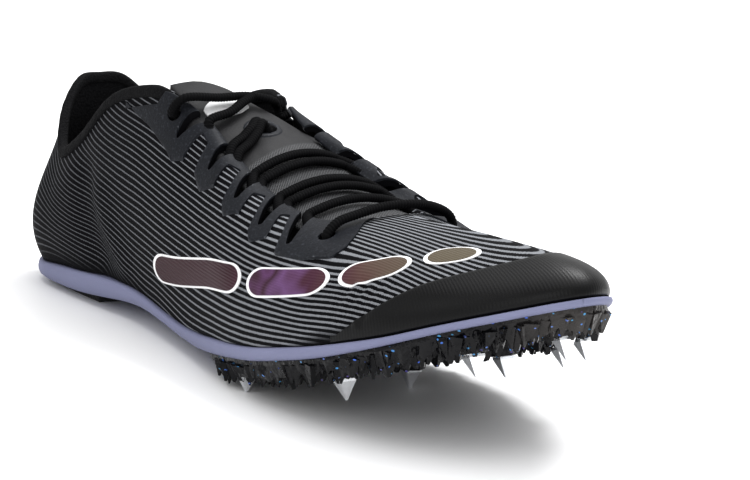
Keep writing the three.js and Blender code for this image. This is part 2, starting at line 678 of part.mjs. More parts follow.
// Collar binding: a channel of tape folded over the collar's edge, round the heel
function makeBinding() {
  const innerFace = -WALL - FIT_GAP;
  const roof = 2 * FIT_GAP;
  const rings = stationsBetween(-BINDING_END_RIB, BINDING_END_RIB).map((rib) => {
    const low = 1 - shareOfDepth(rib, BINDING_DEPTH);
    const upward = ribPoint(rib, 1).sub(ribPoint(rib, 1 - 1 / WALL_ROWS)).normalize();
    const above = (distance, lift) => facetPoint(rib, 1, distance).addScaledVector(upward, lift);
    return [
      facetPoint(rib, low, FIT_GAP),
      above(FIT_GAP, roof),
      above(-WALL / 2, roof),
      above(innerFace, roof),
      facetPoint(rib, low, innerFace),
      facetPoint(rib, low, innerFace - BINDING_THICKNESS),
      above(innerFace - BINDING_THICKNESS, roof),
      above(-WALL / 2, roof + BINDING_THICKNESS),
      above(FIT_GAP + BINDING_THICKNESS, roof),
      facetPoint(rib, low, FIT_GAP + BINDING_THICKNESS),
    ];
  });
  return bodyFromRings(rings, false);
}

// Point on the tongue: wings follow the wall's inside under both throat edges, and the middle is
// crowned between them.
function tonguePoint(rib, across, depth) {
  const wing = TONGUE_WING;
  const outerRib = rib;
  const innerRib = RIB_COUNT - rib;
  if (across <= wing) {
    return facetPoint(outerRib, 1 - (1 - across / wing) / WALL_ROWS, -TONGUE_CLEARANCE - depth);
  }
  if (across >= 1 - wing) {
    return facetPoint(innerRib, 1 - (1 - (1 - across) / wing) / WALL_ROWS, -TONGUE_CLEARANCE - depth);
  }
  const f = (across - wing) / (1 - 2 * wing);
  const a = facetPoint(outerRib, 1, -TONGUE_CLEARANCE - depth);
  const b = facetPoint(innerRib, 1, -TONGUE_CLEARANCE - depth);
  const point = a.lerp(b, f);
  const crown = TONGUE_CROWN * Math.min(1, (TONGUE_FRONT_RIB - rib) / 2.4);
  point.z += crown * 4 * f * (1 - f);
  return point;
}

// Tongue: a padded strip under the throat with a free top end, cut away on the inner side there,
// and an oval keeper hole for the lace
function makeTongue() {
  const acrossSteps = [0, 0.08, TONGUE_WING, 0.27, 0.38, 0.5, 0.62, 0.73, 1 - TONGUE_WING, 0.92, 1];
  const sectionAt = (rib, shift) => {
    const share = brokenValue(TONGUE_REACH, 'rib', 'share', rib);
    const face = (depth) => acrossSteps
      .map((across) => tonguePoint(rib, Math.min(across, share), depth).add(shift));
    return face(0).concat(face(TONGUE_THICKNESS).reverse());
  };
  const none = new THREE.Vector3();
  const rings = stationsBetween(TONGUE_TOP_RIB, TONGUE_FRONT_RIB)
    .reverse()
    .map((rib) => sectionAt(rib, none));
  const reach = SHOE_LENGTH * 0.018;
  rings.push(sectionAt(TONGUE_TOP_RIB - 0.16, new THREE.Vector3(-reach * 0.5, 0, reach * 0.25)));
  rings.push(sectionAt(TONGUE_TOP_RIB - 0.28, new THREE.Vector3(-reach, 0, reach * 0.35)));
  const keeper = new THREE.CylinderGeometry(0.5, 0.5, 4 * TONGUE_THICKNESS, 14);
  keeper.scale(KEEPER_WIDTH, 1, KEEPER_LENGTH);
  keeper.rotateX(Math.PI / 2);
  const centre = keeperCentre(0);
  keeper.translate(centre.x, centre.y, centre.z);
  return toGeometry(toSolid(bodyFromRings(rings, false)).subtract(toSolid(keeper)));
}

function keeperCentre(lift) {
  return tonguePoint(8.80, 0.50, -lift);
}

// Body between two height functions over the sole's outline, between two stations. A station
// joins the outer and inner edge points that lie the same number of ribs from the heel.
function slabBody(from, to, rows, top, bottom) {
  const acrossCount = 3;
  const station = (rib, inset) => {
    const a = edgePoint(rib, inset);
    const b = edgePoint(RIB_COUNT - rib, inset);
    return (j) => a.clone().lerp(b, j / acrossCount);
  };
  const rings = stationsBetween(from, to).map((rib) => {
    const ring = [];
    const under = station(rib, rows[0].inset);
    const over = station(rib, rows[rows.length - 1].inset);
    for (let j = 0; j <= acrossCount; j += 1) {
      const p = under(acrossCount - j);
      ring.push(new THREE.Vector3(p.x, p.y, bottom(p.x)));
    }
    rows.slice(1, -1).forEach((row) => {
      const p = station(rib, row.inset)(0);
      ring.push(new THREE.Vector3(p.x, p.y, bottom(p.x) + row.height * (top(p.x) - bottom(p.x))));
    });
    for (let j = 0; j <= acrossCount; j += 1) {
      const p = over(j);
      ring.push(new THREE.Vector3(p.x, p.y, top(p.x)));
    }
    rows.slice(1, -1).reverse().forEach((row) => {
      const p = station(rib, row.inset)(acrossCount);
      ring.push(new THREE.Vector3(p.x, p.y, bottom(p.x) + row.height * (top(p.x) - bottom(p.x))));
    });
    return ring;
  });
  return bodyFromRings(rings, false);
}

// Midsole: foam wedge whose plain side shows as the pale band
function makeMidsole() {
  const rows = [
    { inset: PLATE_INSET, height: 0 },
    { inset: 0.0, height: 0.3 },
    { inset: 0.0, height: 0.85 },
    { inset: 0.6, height: 1 },
  ];
  return slabBody(0, TOE_RIB, rows, soleTop, soleBottom);
}

// Insole: flat sheet inside the upper, on the midsole
function makeInsole() {
  const inset = FEATHER_INSET + WALL + FIT_GAP * 2;
  const rows = [{ inset, height: 0 }, { inset: inset + 1.6, height: 1 }];
  const bottom = (x) => soleTop(x) + 2 * FIT_GAP;
  const top = (x) => bottom(x) + INSOLE_THICKNESS;
  return slabBody(0, TOE_RIB, rows, top, bottom);
}

// Heel pad: the flat spot that carries the heel
function makeHeelPad() {
  const rows = [{ inset: 6, height: 0 }, { inset: 5, height: 1 }];
  const bottom = () => 0;
  const top = (x) => soleBottom(x) - FIT_GAP;
  return slabBody(2 * RIB_STEP, 7 * RIB_STEP, rows, top, bottom);
}

// Spike plate: curved plate with teeth underneath and a boss for each spike
function baseOfSpike(spike) {
  const x = spike.x * SHOE_LENGTH;
  return spike.floor ? SPIKE_HEIGHT : plateUnderside(x) - BOSS_DEPTH;
}

function spikeTilt(spike) {
  const x = spike.x * SHOE_LENGTH;
  const slope = (soleBottom(x + 2) - soleBottom(x - 2)) / 4;
  return spike.floor ? 0 : -0.8 * Math.atan(slope);
}

function placeAtSpike(geometry, spike) {
  geometry.rotateY(spikeTilt(spike));
  geometry.translate(spike.x * SHOE_LENGTH, spike.y * HALF_WIDTH, baseOfSpike(spike));
  return geometry;
}

// Upright turned body on +Z from radius and height pairs that start and end on the axis.
function turnedBody(profile, sides) {
  const points = profile.map(([radius, height]) => new THREE.Vector2(radius, height));
  return new THREE.LatheGeometry(points, sides).rotateX(Math.PI / 2);
}

function toothAt(x, y, height, half, turn) {
  const slope = (soleBottom(x + 2) - soleBottom(x - 2)) / 4;
  const root = 1.2;
  const profile = [[0, -height], [half * 0.16, -height], [half * 1.2, 0], [half * 1.2, root], [0, root]];
  const body = turnedBody(profile, 4);
  body.rotateZ(turn);
  body.rotateY(-Math.atan(slope));
  body.translate(x, y, plateUnderside(x));
  return body;
}

function makePlate() {
  const rows = [
    { inset: PLATE_INSET + 1.2, height: 0 },
    { inset: PLATE_INSET, height: 0.5 },
    { inset: PLATE_INSET, height: 1 },
  ];
  const top = (x) => soleBottom(x) - FIT_GAP;
  let solid = toSolid(slabBody(PLATE_START_RIB, TOE_RIB, rows, top, plateUnderside));
  SPIKES.forEach((spike) => {
    const x = spike.x * SHOE_LENGTH;
    const depth = plateUnderside(x) - baseOfSpike(spike) - FIT_GAP;
    const root = depth + 1.2;
    const profile = [[0, FIT_GAP], [BOSS_RADIUS * 0.8, FIT_GAP], [BOSS_RADIUS, root], [0, root]];
    solid = solid.add(toSolid(placeAtSpike(turnedBody(profile, 8), spike)));
  });
  toothPlaces().forEach((tooth) => {
    solid = solid.add(toSolid(toothAt(tooth.x, tooth.y, tooth.height, tooth.half, tooth.turn)));
  });
  SPIKES.forEach((spike) => {
    const profile = [[0, -1], [STUD_RADIUS + FIT_GAP, -1], [STUD_RADIUS + FIT_GAP, STUD_LENGTH + FIT_GAP],
      [0, STUD_LENGTH + FIT_GAP]];
    solid = solid.subtract(toSolid(placeAtSpike(turnedBody(profile, 8), spike)));
  });
  return toGeometry(solid);
}

// Teeth stand along both edges of the plate and in staggered rows between them, clear of the bosses.
function toothPlaces() {
  const places = [];
  const clear = (x, y) => SPIKES.every((spike) => {
    const dx = x - spike.x * SHOE_LENGTH;
    const dy = y - spike.y * HALF_WIDTH;
    return Math.hypot(dx, dy) > BOSS_RADIUS + TOOTH_PITCH * 0.34;
  });
  const rearOuter = edgePoint(PLATE_START_RIB, 0);
  const rearInner = edgePoint(RIB_COUNT - PLATE_START_RIB, 0);
  const rearLimit = (y) => {
    const share = (y - rearOuter.y) / (rearInner.y - rearOuter.y);
    return rearOuter.x + share * (rearInner.x - rearOuter.x) + TOOTH_PITCH * 0.4;
  };
  const heightAt = (x) => Math.min(TOOTH_HEIGHT, plateUnderside(x) - 1.5);
  const edgeCount = Math.round(SHOE_LENGTH / TOOTH_PITCH * 0.6);
  ribSteps(PLATE_START_RIB + 0.4, RIB_COUNT - PLATE_START_RIB - 0.4, 2 * edgeCount).forEach((rib, k) => {
    const p = edgePoint(rib, PLATE_INSET + 3.4);
    const height = heightAt(p.x) * (k % 2 === 0 ? 1 : 0.72);
    if (clear(p.x, p.y)) {
      places.push({ x: p.x, y: p.y, height, half: TOOTH_PITCH * 0.36, turn: 0.4 * (k % 3) });
    }
  });
  const pitch = 1.3 * TOOTH_PITCH;
  const rows = Math.floor(SHOE_LENGTH * 0.42 / pitch);
  for (let i = 0; i < rows; i += 1) {
    const x = SHOE_LENGTH * 0.55 + i * pitch;
    const shift = (i % 2) * pitch * 0.5;
    for (let k = -4; k <= 4; k += 1) {
      const y = k * pitch + shift;
      if (insideEdge(x, y, PLATE_INSET + TOOTH_PITCH) && x > rearLimit(y) && clear(x, y)) {
        const turn = 0.6 * ((i + k + 8) % 3);
        places.push({ x, y, height: heightAt(x) * 0.8, half: TOOTH_PITCH * 0.3, turn });
      }
    }
  }
  return places;
}

// True when a plan point lies inside the sole's edge by at least the given distance.
function insideEdge(x, y, distance) {
  const outline = ribSteps(0, RIB_COUNT, 96).map((rib) => edgePoint(rib, distance));
  let inside = false;
  for (let i = 0; i < outline.length - 1; i += 1) {
    const a = outline[i];
    const b = outline[i + 1];
    if ((a.y > y) !== (b.y > y) && x < a.x + (b.x - a.x) * (y - a.y) / (b.y - a.y)) {
      inside = !inside;
    }
  }
  return inside;
}

// Spike: four-sided steel point on a threaded stud, tip down
function makeSpike(spike) {
  const half = SPIKE_WIDTH / 2 * Math.SQRT2;
  const tip = [[0, -SPIKE_HEIGHT], [half * 0.1, -SPIKE_HEIGHT], [half, -0.8], [half, 0], [0, 0]];
  const stud = [[0, -0.5], [STUD_RADIUS, -0.5], [STUD_RADIUS, STUD_LENGTH], [0, STUD_LENGTH]];
  const point = turnedBody(tip, 4).rotateZ(Math.PI / 5);
  const solid = toSolid(point).add(toSolid(turnedBody(stud, 8)));
  return placeAtSpike(toGeometry(solid), spike);
}

// Round strand along a smooth path.
function strand(points, segments) {
  const path = new THREE.CatmullRomCurve3(points);
  const circle = new THREE.Shape();
  circle.absarc(0, 0, LACE_DIAMETER / 2, 0, 2 * Math.PI);
  const settings = { steps: segments, bevelEnabled: false, extrudePath: path, curveSegments: 4 };
  return new THREE.ExtrudeGeometry(circle, settings);
}

// Strand across the throat, above the tongue's crown.
function crossingPath(outerRib, innerRib, lift) {
  const clearance = LACE_DIAMETER / 2 + 0.5;
  const a = ribPoint(outerRib, 1);
  const b = ribPoint(innerRib, 1);
  const crown = TONGUE_CROWN - TONGUE_CLEARANCE;
  return [0.06, 0.17, 0.32, 0.5, 0.68, 0.83, 0.94].map((f) => {
    const p = a.clone().lerp(b, f);
    p.z += crown * 4 * f * (1 - f) + clearance + lift * Math.sqrt(f * (1 - f)) - FIT_GAP;
    return p;
  });
}

function makeLaceBar(bar) {
  return strand(crossingPath(bar.outer, bar.inner, bar.lift), 8);
}

// Lowest strand: from the outer front eyelet across the end of the throat to the inner one
function makeFrontLace() {
  const lift = LACE_DIAMETER / 2 + OVERLAY_THICKNESS + 3 * FIT_GAP;
  const [outer, inner] = [OUTER_EYELETS[1], INNER_EYELETS[1]];
  return strand([
    wallPoint(outer.rib, outer.along, lift),
    wallPoint(12.30, 0.900, lift + 0.5),
    wallPoint(12.60, 1.000, lift + 1.2),
    tonguePoint(12.60, 0.50, -lift - 2.2),
    wallPoint(19.00, 1.000, lift + 1.2),
    wallPoint(19.20, 0.900, lift + 0.5),
    wallPoint(inner.rib, inner.along, lift),
  ], 12);
}

// Top strands: one from eyelet to eyelet over the tongue's top end, one from the first outer slot
// that joins it in the middle
function makeTopLace() {
  const lift = LACE_DIAMETER / 2 + OVERLAY_THICKNESS + 3 * FIT_GAP;
  const [outer, inner] = [OUTER_EYELETS[0], INNER_EYELETS[0]];
  const upperStrand = strand([
    wallPoint(outer.rib, outer.along, lift),
    wallPoint(7.40, 0.990, lift),
    tonguePoint(7.70, 0.32, -lift),
    tonguePoint(7.85, 0.50, -lift),
    tonguePoint(8.00, 0.68, -lift),
    wallPoint(24.70, 0.990, lift),
    wallPoint(inner.rib, inner.along, lift),
  ], 14);
  const lowerStrand = strand([
    wallPoint(8.10, 1.000, 1.2),
    tonguePoint(8.20, 0.30, -lift),
    tonguePoint(8.10, 0.42, -lift),
    tonguePoint(7.90, 0.54, -lift),
    tonguePoint(7.95, 0.62, -lift),
  ], 7);
  return toGeometry(toSolid(upperStrand).add(toSolid(lowerStrand)));
}

// Twin strands from the second outer slot into the tongue's keeper hole
function makeKeeperLace() {
  const lift = LACE_DIAMETER / 2 + 2 * FIT_GAP;
  const side = (shift) => strand([
    tonguePoint(9.02 + shift * 0.12, 0.19, -lift - 0.2),
    tonguePoint(9.00 + shift * 0.11, 0.28, -lift - 0.4),
    tonguePoint(8.90 + shift * 0.10, 0.38, -lift - 0.6),
    keeperCentre(lift + 0.3).add(new THREE.Vector3(shift * 1.5, 0, 0)),
  ], 6);
  return toGeometry(toSolid(side(-1)).add(toSolid(side(1))));
}

const group = new THREE.Group();
group.name = 'track_spike_shoe';

function addPart(name, geometry, colour, roughness, metalness) {
  const material = new THREE.MeshStandardMaterial({ color: colour, roughness, metalness });
  geometry.deleteAttribute('normal');
  geometry.deleteAttribute('uv');
  const placed = mergeVertices(geometry, 1e-4);
  placed.translate(-HEEL_REST_SHARE * SHOE_LENGTH, 0, 0);
  placed.computeVertexNormals();
  const mesh = new THREE.Mesh(placed, material);
  mesh.name = name;
  group.add(mesh);
}

addPart('upper', makeUpper(), 0x1a1b20, 0.8, 0);
addPart('toe_cap', makeToeCap(), 0x121214, 0.4, 0);
addPart('eyestay_outer', makeEyestay(OUTER_EYESTAY_EDGE, OUTER_SLOTS), 0x2c2f36, 0.5, 0);
addPart('eyestay_inner', makeEyestay(INNER_EYESTAY_EDGE, INNER_SLOTS), 0x2c2f36, 0.5, 0);
addPart('collar_binding', makeBinding(), 0x0c0c0e, 0.9, 0);
addPart('tongue', makeTongue(), 0x3a3b3f, 0.7, 0);
addPart('insole', makeInsole(), 0x16161a, 0.9, 0);
addPart('midsole', makeMidsole(), 0x8c8fae, 0.6, 0);
addPart('spike_plate', makePlate(), 0x101014, 0.35, 0);
addPart('heel_pad', makeHeelPad(), 0x141416, 0.8, 0);
SPIKES.forEach((spike) => addPart(spike.name, makeSpike(spike), 0xd0d2d6, 0.2, 1));
LACE_BARS.forEach((bar) => addPart(bar.name, makeLaceBar(bar), 0x0e0e10, 0.9, 0));
addPart('lace_front', makeFrontLace(), 0x0e0e10, 0.9, 0);
addPart('lace_top', makeTopLace(), 0x0e0e10, 0.9, 0);
addPart('lace_keeper', makeKeeperLace(), 0x0e0e10, 0.9, 0);

export default group;
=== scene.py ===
import math

import bpy
import numpy as np
from mathutils import Matrix


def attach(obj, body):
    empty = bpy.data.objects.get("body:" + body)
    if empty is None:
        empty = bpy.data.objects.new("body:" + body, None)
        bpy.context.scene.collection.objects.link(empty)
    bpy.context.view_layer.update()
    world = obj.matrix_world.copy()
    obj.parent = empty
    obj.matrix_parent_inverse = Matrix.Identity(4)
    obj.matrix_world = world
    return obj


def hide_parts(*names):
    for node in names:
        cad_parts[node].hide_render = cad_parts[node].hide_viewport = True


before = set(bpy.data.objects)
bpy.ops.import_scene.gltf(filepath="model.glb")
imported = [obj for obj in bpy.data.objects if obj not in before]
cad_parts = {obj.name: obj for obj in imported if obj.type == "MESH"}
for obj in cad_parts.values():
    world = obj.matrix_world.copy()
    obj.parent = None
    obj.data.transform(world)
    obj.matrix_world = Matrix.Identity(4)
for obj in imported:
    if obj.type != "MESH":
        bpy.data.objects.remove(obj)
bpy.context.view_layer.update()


# Camera, floor and soft boxes
# The shoe stands on a plain pale floor and is seen from its outer side, a little from the front and
# from above, with the photograph's long lens and small roll. Large soft boxes light it from all round.
camera_azimuth = math.radians(54.53)
camera_elevation = math.radians(13.22)
camera_roll = math.radians(2.78)
camera_place = (1.04491, -0.63964, 0.30764)
camera_lens = 169.43

level = np.array([math.cos(camera_azimuth), math.sin(camera_azimuth), 0.0])
back = np.array([
    math.sin(camera_azimuth) * math.cos(camera_elevation),
    -math.cos(camera_azimuth) * math.cos(camera_elevation),
    math.sin(camera_elevation),
])
steep = np.cross(back, level)
right = math.cos(camera_roll) * level + math.sin(camera_roll) * steep
upright = math.cos(camera_roll) * steep - math.sin(camera_roll) * level


def standing(side, up, away, place):
    """Matrix that puts an object at a place, with its own three axes along the given directions."""
    matrix = np.eye(4)
    matrix[:3] = np.column_stack([side, up, away, place])
    return Matrix(matrix.tolist())


scene = bpy.context.scene
camera_data = bpy.data.cameras.new("camera")
camera_data.sensor_width = 36.0
camera_data.lens = camera_lens
camera_data.clip_end = 20.0
camera = bpy.data.objects.new("camera", camera_data)
scene.collection.objects.link(camera)
camera.matrix_world = standing(right, upright, back, camera_place)
scene.camera = camera
scene.view_settings.view_transform = "Standard"
scene.view_settings.exposure = 0.10
scene.view_settings.gamma = 0.84

world = bpy.data.worlds.new("studio")
world.use_nodes = True
sky = world.node_tree.nodes["Background"].inputs
sky["Color"].default_value = (1.0, 1.0, 1.0, 1.0)
sky["Strength"].default_value = 0.85
scene.world = world


def soft_box(name, place, aim, size, energy):
    """Square area light at a place, turned so that its face looks at the aim point."""
    data = bpy.data.lights.new(name, "AREA")
    data.shape = "SQUARE"
    data.size = size
    data.energy = energy
    light = bpy.data.objects.new(name, data)
    scene.collection.objects.link(light)
    away = np.array(place) - np.array(aim)
    away = away / np.linalg.norm(away)
    side = np.cross((0.0, 1.0, 0.0), away)
    side = side / np.linalg.norm(side)
    light.matrix_world = standing(side, np.cross(away, side), away, place)


soft_box("box_above", (0.20, 0.15, 1.25), (0.12, 0.00, 0.00), 1.60, 12.5)
soft_box("box_toe", (0.05, 0.42, 0.82), (0.22, 0.00, 0.06), 0.32, 5.0)
soft_box("box_side", (0.10, -1.20, 0.80), (0.10, 0.00, 0.05), 0.70, 1.8)
soft_box("box_low", (0.95, -0.75, 0.40), (0.28, -0.15, 0.00), 0.60, 1.6)

floor_mesh = bpy.data.meshes.new("floor")
floor_mesh.from_pydata([(-4, -4, 0), (4, -4, 0), (4, 4, 0), (-4, 4, 0)], [], [(0, 1, 2, 3)])
floor = bpy.data.objects.new("floor", floor_mesh)
scene.collection.objects.link(floor)
floor_paint = bpy.data.materials.new("floor_paint")
floor_paint.use_nodes = True
floor_shader = floor_paint.node_tree.nodes["Principled BSDF"]
floor_shader.inputs["Base Color"].default_value = (0.90, 0.90, 0.905, 1.0)
floor_shader.inputs["Roughness"].default_value = 0.55
floor_mesh.materials.append(floor_paint)


# Upper
# One shell of thin knitted textile with silver-grey lines woven into black, pulled over the last and
# glued to the foam underneath. It is open at the collar and down the throat, where five slots a side
# take the lace. Its creases are soft troughs where the toes bend and over the heel.
shoe_length = 288.0
half_width = 46.0
collar_height = 84.0
toe_spring = 50.0
wall = 1.8
feather_inset = 1.5
heel_rest = 33.12
rib_count = 32
sole_x = np.array([0, .05, .10, .16, .21, .26, .31, .365, .42, .47, .52, .575, .625, .68, .73, .78,
                   .835, .885, .94, .975, 1.0])
sole_top_share = np.array([.146, .152, .184, .212, .234, .240, .220, .194, .188, .214, .258, .308, .362,
                           .440, .516, .604, .710, .828, .956, 1.040, 1.096])
sole_bottom_share = np.array([.082, .052, .046, .060, .090, .122, .134, .122, .108, .116, .156, .214, .270,
                              .352, .432, .530, .652, .774, .902, .986, 1.044])
rib_columns = ("x", "y", "top_x", "top_y", "top_z", "flare", "rise", "swell", "reach", "drop")
rib_rows = np.array([
    (.000, .000, .016, .000, .850, .110, .260, -.060, .000, .280),
    (.011, -.375, .022, -.200, .840, .200, .260, -.030, .000, .280),
    (.050, -.610, .042, -.400, .730, .250, .240, .040, .000, .240),
    (.120, -.655, .080, -.540, .590, .210, .190, .080, .050, .170),
    (.196, -.650, .140, -.590, .690, .150, .220, .080, .060, .230),
    (.278, -.636, .204, -.595, .880, .130, .260, .090, .060, .320),
    (.354, -.690, .268, -.580, .965, .120, .290, .100, .080, .320),
    (.430, -.775, .328, -.530, .985, .110, .290, .060, .160, .200),
    (.503, -.880, .373, -.415, .905, .100, .280, .000, .340, .060),
    (.573, -.975, .426, -.395, .806, .090, .270, .000, .400, .030),
    (.642, -1.012, .486, -.406, .728, .080, .250, .000, .420, .020),
    (.712, -1.000, .550, -.425, .682, .070, .230, .000, .420, .010),
    (.778, -.940, .606, -.420, .668, .060, .200, .000, .420, .000),
    (.844, -.815, .640, -.320, .680, .050, .180, .000, .440, -.010),
    (.906, -.598, .657, -.180, .696, .040, .160, .000, .460, -.025),
    (.956, -.304, .663, -.050, .706, .030, .150, .000, .480, -.035),
    (.992, .040, .664, .070, .706, .030, .155, .000, .500, -.040),
    (.982, .304, .660, .190, .700, .030, .165, .000, .460, .015),
    (.947, .511, .648, .310, .684, .030, .168, .000, .420, .050),
    (.896, .690, .622, .425, .664, .040, .162, .000, .380, .080),
    (.833, .835, .574, .465, .660, .050, .168, .000, .340, .090),
    (.767, .918, .516, .425, .704, .060, .205, .000, .340, .075),
    (.698, .940, .457, .372, .772, .060, .250, .000, .360, .030),
    (.628, .902, .401, .320, .850, .060, .280, .000, .380, .030),
    (.556, .804, .356, .360, .906, .070, .300, .000, .320, .060),
    (.479, .674, .320, .450, .930, .100, .290, .060, .160, .180),
    (.399, .576, .264, .520, .905, .120, .280, .100, .080, .280),
    (.319, .565, .208, .540, .830, .120, .280, .090, .060, .290),
    (.236, .609, .150, .540, .690, .120, .240, .070, .060, .220),
    (.160, .652, .092, .520, .590, .130, .190, .060, .050, .160),
    (.084, .620, .052, .405, .715, .130, .240, .020, .000, .230),
    (.028, .424, .026, .205, .836, .120, .260, -.030, .000, .270),
])
rib_table = dict(zip(rib_columns, rib_rows.T))

# Creases and soft ridges: two ends in shoe millimetres, half width and depth (a ridge is negative).
crease_ends = np.array([
    [(46.0, -31.0, 46.0), (60.0, -31.0, 18.0)],
    [(58.0, -31.5, 40.0), (74.0, -31.0, 20.0)],
    [(218.4, -42.4, 37.0), (220.9, -37.1, 46.6)],
    [(220.6, -42.0, 37.0), (223.5, -36.4, 47.0)],
    [(222.9, -41.7, 37.4), (226.2, -35.6, 47.7)],
    [(224.8, -41.3, 37.5), (229.0, -35.0, 48.0)],
    [(226.6, -40.9, 37.7), (231.8, -34.5, 48.2)],
    [(228.8, -40.4, 38.0), (233.8, -33.5, 48.9)],
    [(231.0, -39.9, 38.3), (235.7, -32.5, 49.6)],
    [(212.0, 40.0, 34.0), (222.0, 29.0, 52.0)],
    [(220.0, 38.0, 36.0), (230.0, 27.0, 52.0)],
])
crease_sizes = np.array([
    (7.0, 2.6), (5.5, -1.2), (1.6, 0.55), (1.4, -0.45), (1.6, 0.75), (1.4, -0.5), (1.6, 0.75), (1.4, -0.5),
    (1.6, 0.6), (2.8, 0.8), (2.8, -0.5),
])


def between(a, b, c, d, share):
    """Smooth curve from b to c: a cubic whose slopes come from the values on either side."""
    bend = 2 * a - 5 * b + 4 * c - d + share * (3 * (b - c) + d - a)
    return b + 0.5 * share * (c - a + share * bend)


def ring_curve(values, ribs):
    """Values of a row for each rib, read at rib numbers, closed from the last rib to the first."""
    base = np.floor(ribs).astype(int)
    return between(*(values[(base + step) % rib_count] for step in (-1, 0, 1, 2)), ribs - base)


def ring_value(column, ribs):
    """Column of the rib table at rib numbers."""
    return ring_curve(rib_table[column], ribs)


def open_value(keys, values, at):
    """Open table at given keys: a cubic through the rows, with each row's slope taken from the row
    before it to the row after it."""
    at = np.clip(at, keys[0], keys[-1])
    low = np.clip(np.searchsorted(keys, at, side="right") - 1, 0, len(keys) - 2)
    before = np.maximum(np.arange(len(keys)) - 1, 0)
    after = np.minimum(np.arange(len(keys)) + 1, len(keys) - 1)
    slopes = (values[after] - values[before]) / (keys[after] - keys[before])
    span = keys[low + 1] - keys[low]
    share = (at - keys[low]) / span
    rise = values[low + 1] - values[low]
    start = slopes[low] * span
    end = slopes[low + 1] * span
    bend = 3 * rise - 2 * start - end + share * (start + end - 2 * rise)
    return values[low] + share * (start + share * bend)


def sole_top(x):
    """Height of the foam's upper edge at a place along the shoe."""
    return toe_spring * open_value(sole_x, sole_top_share, x / shoe_length)


def sole_bottom(x):
    """Height of the foam's lower edge at a place along the shoe."""
    return toe_spring * open_value(sole_x, sole_bottom_share, x / shoe_length)


def edge_outward(ribs):
    """Plan direction out of the sole's edge: the edge's own direction turned by a right angle."""
    dx = shoe_length * (ring_value("x", ribs + 0.05) - ring_value("x", ribs - 0.05))
    dy = half_width * (ring_value("y", ribs + 0.05) - ring_value("y", ribs - 0.05))
    return dy / np.hypot(dx, dy), -dx / np.hypot(dx, dy)


def edge_point(ribs, inset):
    """Plan point of the sole's edge, moved inward by the inset."""
    out_x, out_y = edge_outward(ribs)
    return (shoe_length * ring_value("x", ribs) - inset * out_x,
            half_width * ring_value("y", ribs) - inset * out_y)


def rib_point(ribs, along):
    """Smooth outer face: each rib is a cubic with four control points, from the sole's edge (along 0)
    over one that flares out and up and one that swells below the top line, to the top line (along 1)."""
    ribs, along = np.broadcast_arrays(np.asarray(ribs, float), np.asarray(along, float))
    out_x, out_y = edge_outward(ribs)
    foot_x, foot_y = edge_point(ribs, feather_inset)
    foot_z = sole_top(foot_x) + 0.3
    top_x = shoe_length * ring_value("top_x", ribs)
    top_y = half_width * ring_value("top_y", ribs)
    top_z = collar_height * ring_value("top_z", ribs)
    flare = half_width * ring_value("flare", ribs)
    rise = collar_height * ring_value("rise", ribs)
    swell = half_width * ring_value("swell", ribs)
    reach = ring_value("reach", ribs)
    drop = collar_height * ring_value("drop", ribs)
    foot = np.stack([foot_x, foot_y, foot_z], -1)
    first = foot + np.stack([flare * out_x, flare * out_y, rise], -1)
    second = np.stack([
        top_x + reach * (foot_x - top_x) + swell * out_x,
        top_y + reach * (foot_y - top_y) + swell * out_y,
        top_z - drop,
    ], -1)
    top = np.stack([top_x, top_y, top_z], -1)
    t = along[..., None]
    s = 1 - t
    return foot * s ** 3 + 3 * first * s * s * t + 3 * second * s * t * t + top * t ** 3


def rib_normal(ribs, along):
    """Direction out of the face: the step forward along the shoe crossed with the step up the rib."""
    upward = rib_point(ribs, np.minimum(along + 0.01, 1)) - rib_point(ribs, np.maximum(along - 0.01, 0))
    forward = rib_point(ribs + 0.04, along) - rib_point(ribs - 0.04, along)
    normal = np.cross(forward, upward)
    return normal / np.linalg.norm(normal, axis=-1, keepdims=True)


def crease_depth(points):
    """Depth of all creases at points: for each crease its depth times a bell curve of the distance to
    the straight line between its ends, measured in half widths."""
    depth = np.zeros(points.shape[:-1])
    for (start, end), (width, fall) in zip(crease_ends, crease_sizes):
        run = end - start
        share = np.clip(((points - start) @ run) / (run @ run), 0, 1)
        distance = np.linalg.norm(points - start - share[..., None] * run, axis=-1)
        depth += fall * np.exp(-(distance / width) ** 2)
    return depth


def wall_point(ribs, along, distance):
    """Point at a distance outside the creased outer face, along the face's normal."""
    ribs, along, distance = np.broadcast_arrays(
        np.asarray(ribs, float), np.asarray(along, float), np.asarray(distance, float))
    points = rib_point(ribs, along)
    return points + rib_normal(ribs, along) * (distance - crease_depth(points))[..., None]


def in_metres(points):
    """Shoe millimetres, counted from the back of the heel, to metres from the heel's flat spot."""
    return (points - np.array([heel_rest, 0.0, 0.0])) / 1000.0


def put_in_scene(name, mesh):
    """New object that shows a mesh, at the origin."""
    piece = bpy.data.objects.new(name, mesh)
    scene.collection.objects.link(piece)
    return piece


